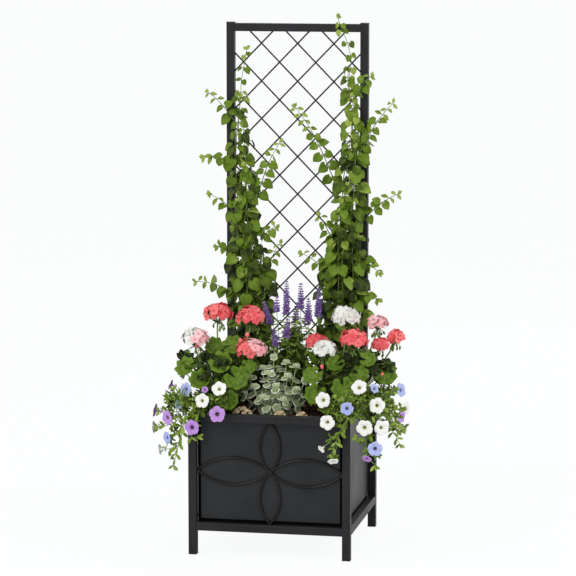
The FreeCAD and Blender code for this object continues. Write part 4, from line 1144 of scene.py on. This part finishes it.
def shoot(leaves, stems, foot, tip):
    """A side shoot that reaches out with small leaves in pairs, younger ones at its tip."""
    run = hypot(tip[0] - foot[0], tip[1] - foot[1])
    foot = array(foot[0], VINE_FACE - 18, foot[1])
    tip = array(tip[0], VINE_FACE - 24, tip[1])
    bow = array(0, -6, 0.10 * run)
    stems.tube(bend(foot, tip, bow, steps=9), 1.5, 0.7, tint=1.0)
    count = max(3, int(run / 22))
    ahead = unit(tip - foot)
    for number in range(count):
        share = (number + 0.7) / count
        place = foot + (tip - foot) * share + bow * sin(share * pi)
        for way in (-1, 1):
            along = np.cross(ahead, FRONT) * way * 0.8 + ahead * 0.4 - UP * 0.8 + jitter(0.3)
            form = YOUNG_LEAF if share > 0.6 else DRAW.choice(HEART_LEAVES)
            stalked(leaves, stems, form, place, along, FRONT + 0.5 * UP + jitter(0.65),
                    (27 - 14 * share) * between(0.85, 1.15), 0.45 + 0.6 * share)
    young_tip(leaves, tip, ahead, 0.6, 9)


def build_vines():
    # The vine leaf's deep green is nearly black, for the painted shade between the leaves.
    leaf = leaf_material("vine_leaf", (14, 24, 3), (98, 126, 30), (142, 164, 74), young=(160, 178, 86),
                         veins=4.0, vein_strength=0.2)
    for side, line in VINE_LINES.items():
        leaves = Bunch(f"{side}_vine_foliage", leaf, "vine_leaf", [f"{side}_vine"])
        stems = Bunch(f"{side}_vine_stems", VINE_STEM, "vine_leaf")
        for number, (across, reach, forward) in enumerate(VINE_STEMS):
            climb(leaves, stems, line, across, reach, forward, 1.7 * number + 0.4)
        fill_column(leaves, stems, side, line)
        for foot, tip in VINE_SHOOTS[side]:
            shoot(leaves, stems, foot, tip)
        leaves.finish(0.4)
        stems.finish()


# -------------------------------------------------------------- camera, floor and light

BACKDROP = (254, 255, 255)
# How much of the floor the camera sees as plain backdrop; the rest shows light and shadow.
FLOOR_GLOW = 0.94
FLOOR_REACH = 60.0
SKY_LIGHT = 0.62
# The camera as the photo has it: metres, degrees to the left and down, and millimetres.
CAMERA_PLACE = (1.317, -6.712, 1.598)
CAMERA_YAW, CAMERA_PITCH = radians(11.03), radians(8.02)
CAMERA_LENS = 175
# Lamps of (name, place, width, power), which all point at the middle of the planting.
LAMPS = (
    ("key", (-2.2, -3.4, 3.6), 2.2, 95),
    ("right_fill", (3.6, -0.6, 1.6), 1.6, 40),
    ("back_fill", (0.6, 3.4, 2.6), 2.0, 30),
)
LAMP_TARGET = (0, 0, 0.55)


def aim(item, direction):
    item.rotation_euler = Vector(direction).to_track_quat("-Z", "Y").to_euler()
    bpy.context.scene.collection.objects.link(item)


def build_studio():
    scene = bpy.context.scene
    scene.view_settings.view_transform = "Standard"

    camera_data = bpy.data.cameras.new("camera")
    camera_data.sensor_width = 36
    camera_data.lens = CAMERA_LENS
    camera_data.clip_end = 100
    camera = bpy.data.objects.new("camera", camera_data)
    camera.location = CAMERA_PLACE
    level = cos(CAMERA_PITCH)
    aim(camera, (-sin(CAMERA_YAW) * level, cos(CAMERA_YAW) * level, -sin(CAMERA_PITCH)))
    scene.camera = camera

    shader = Shader("studio_floor", 0.9, specular=0.0)
    pale = shader.mix(shader.noise(3.0), (244, 244, 244), (250, 250, 250))
    shader.fill(shader.surface, {"Base Color": pale})
    seen = shader.node("LightPath", {}, "Is Camera Ray")
    glow = shader.node("Emission", {"Color": BACKDROP})
    lit = shader.surface.outputs[0]
    blend = shader.node("MixShader", {0: shader.times(seen, FLOOR_GLOW), 1: lit, 2: glow})
    shader.fill(shader.nodes["Material Output"], {"Surface": blend})
    corners = [(x * FLOOR_REACH, y * FLOOR_REACH, 0) for x, y in ((-1, -1), (1, -1), (1, 1), (-1, 1))]
    floor = new_object("studio_floor", corners, [(0, 1, 2, 3)], shader.material)

    scene.world = bpy.data.worlds.new("studio")
    sky = Tree(scene.world)
    sky.nodes.clear()
    seen = sky.node("LightPath", {}, "Is Camera Ray")
    for ray in ("Is Transmission Ray", "Is Glossy Ray"):
        seen = sky.math("MAXIMUM", seen, sky.node("LightPath", {}, ray))
    shown = sky.node("Background", {"Color": BACKDROP, "Strength": 1.0})
    lighting = sky.node("Background", {"Color": (255, 255, 255), "Strength": SKY_LIGHT})
    blend = sky.node("MixShader", {0: seen, 1: lighting, 2: shown})
    sky.fill(sky.nodes.new("ShaderNodeOutputWorld"), {0: blend})

    for name, place, width, power in LAMPS:
        lamp_data = bpy.data.lights.new(name, "AREA")
        lamp_data.size = width
        lamp_data.energy = power
        lamp = bpy.data.objects.new(name, lamp_data)
        lamp.location = place
        aim(lamp, Vector(LAMP_TARGET) - lamp.location)


build_studio()
dress_metal()
build_soil()
build_bark()
build_sedum()
build_geranium_heads()
build_geranium_leaves()
build_silver_plant()
build_salvia()
build_petunias()
build_vines()
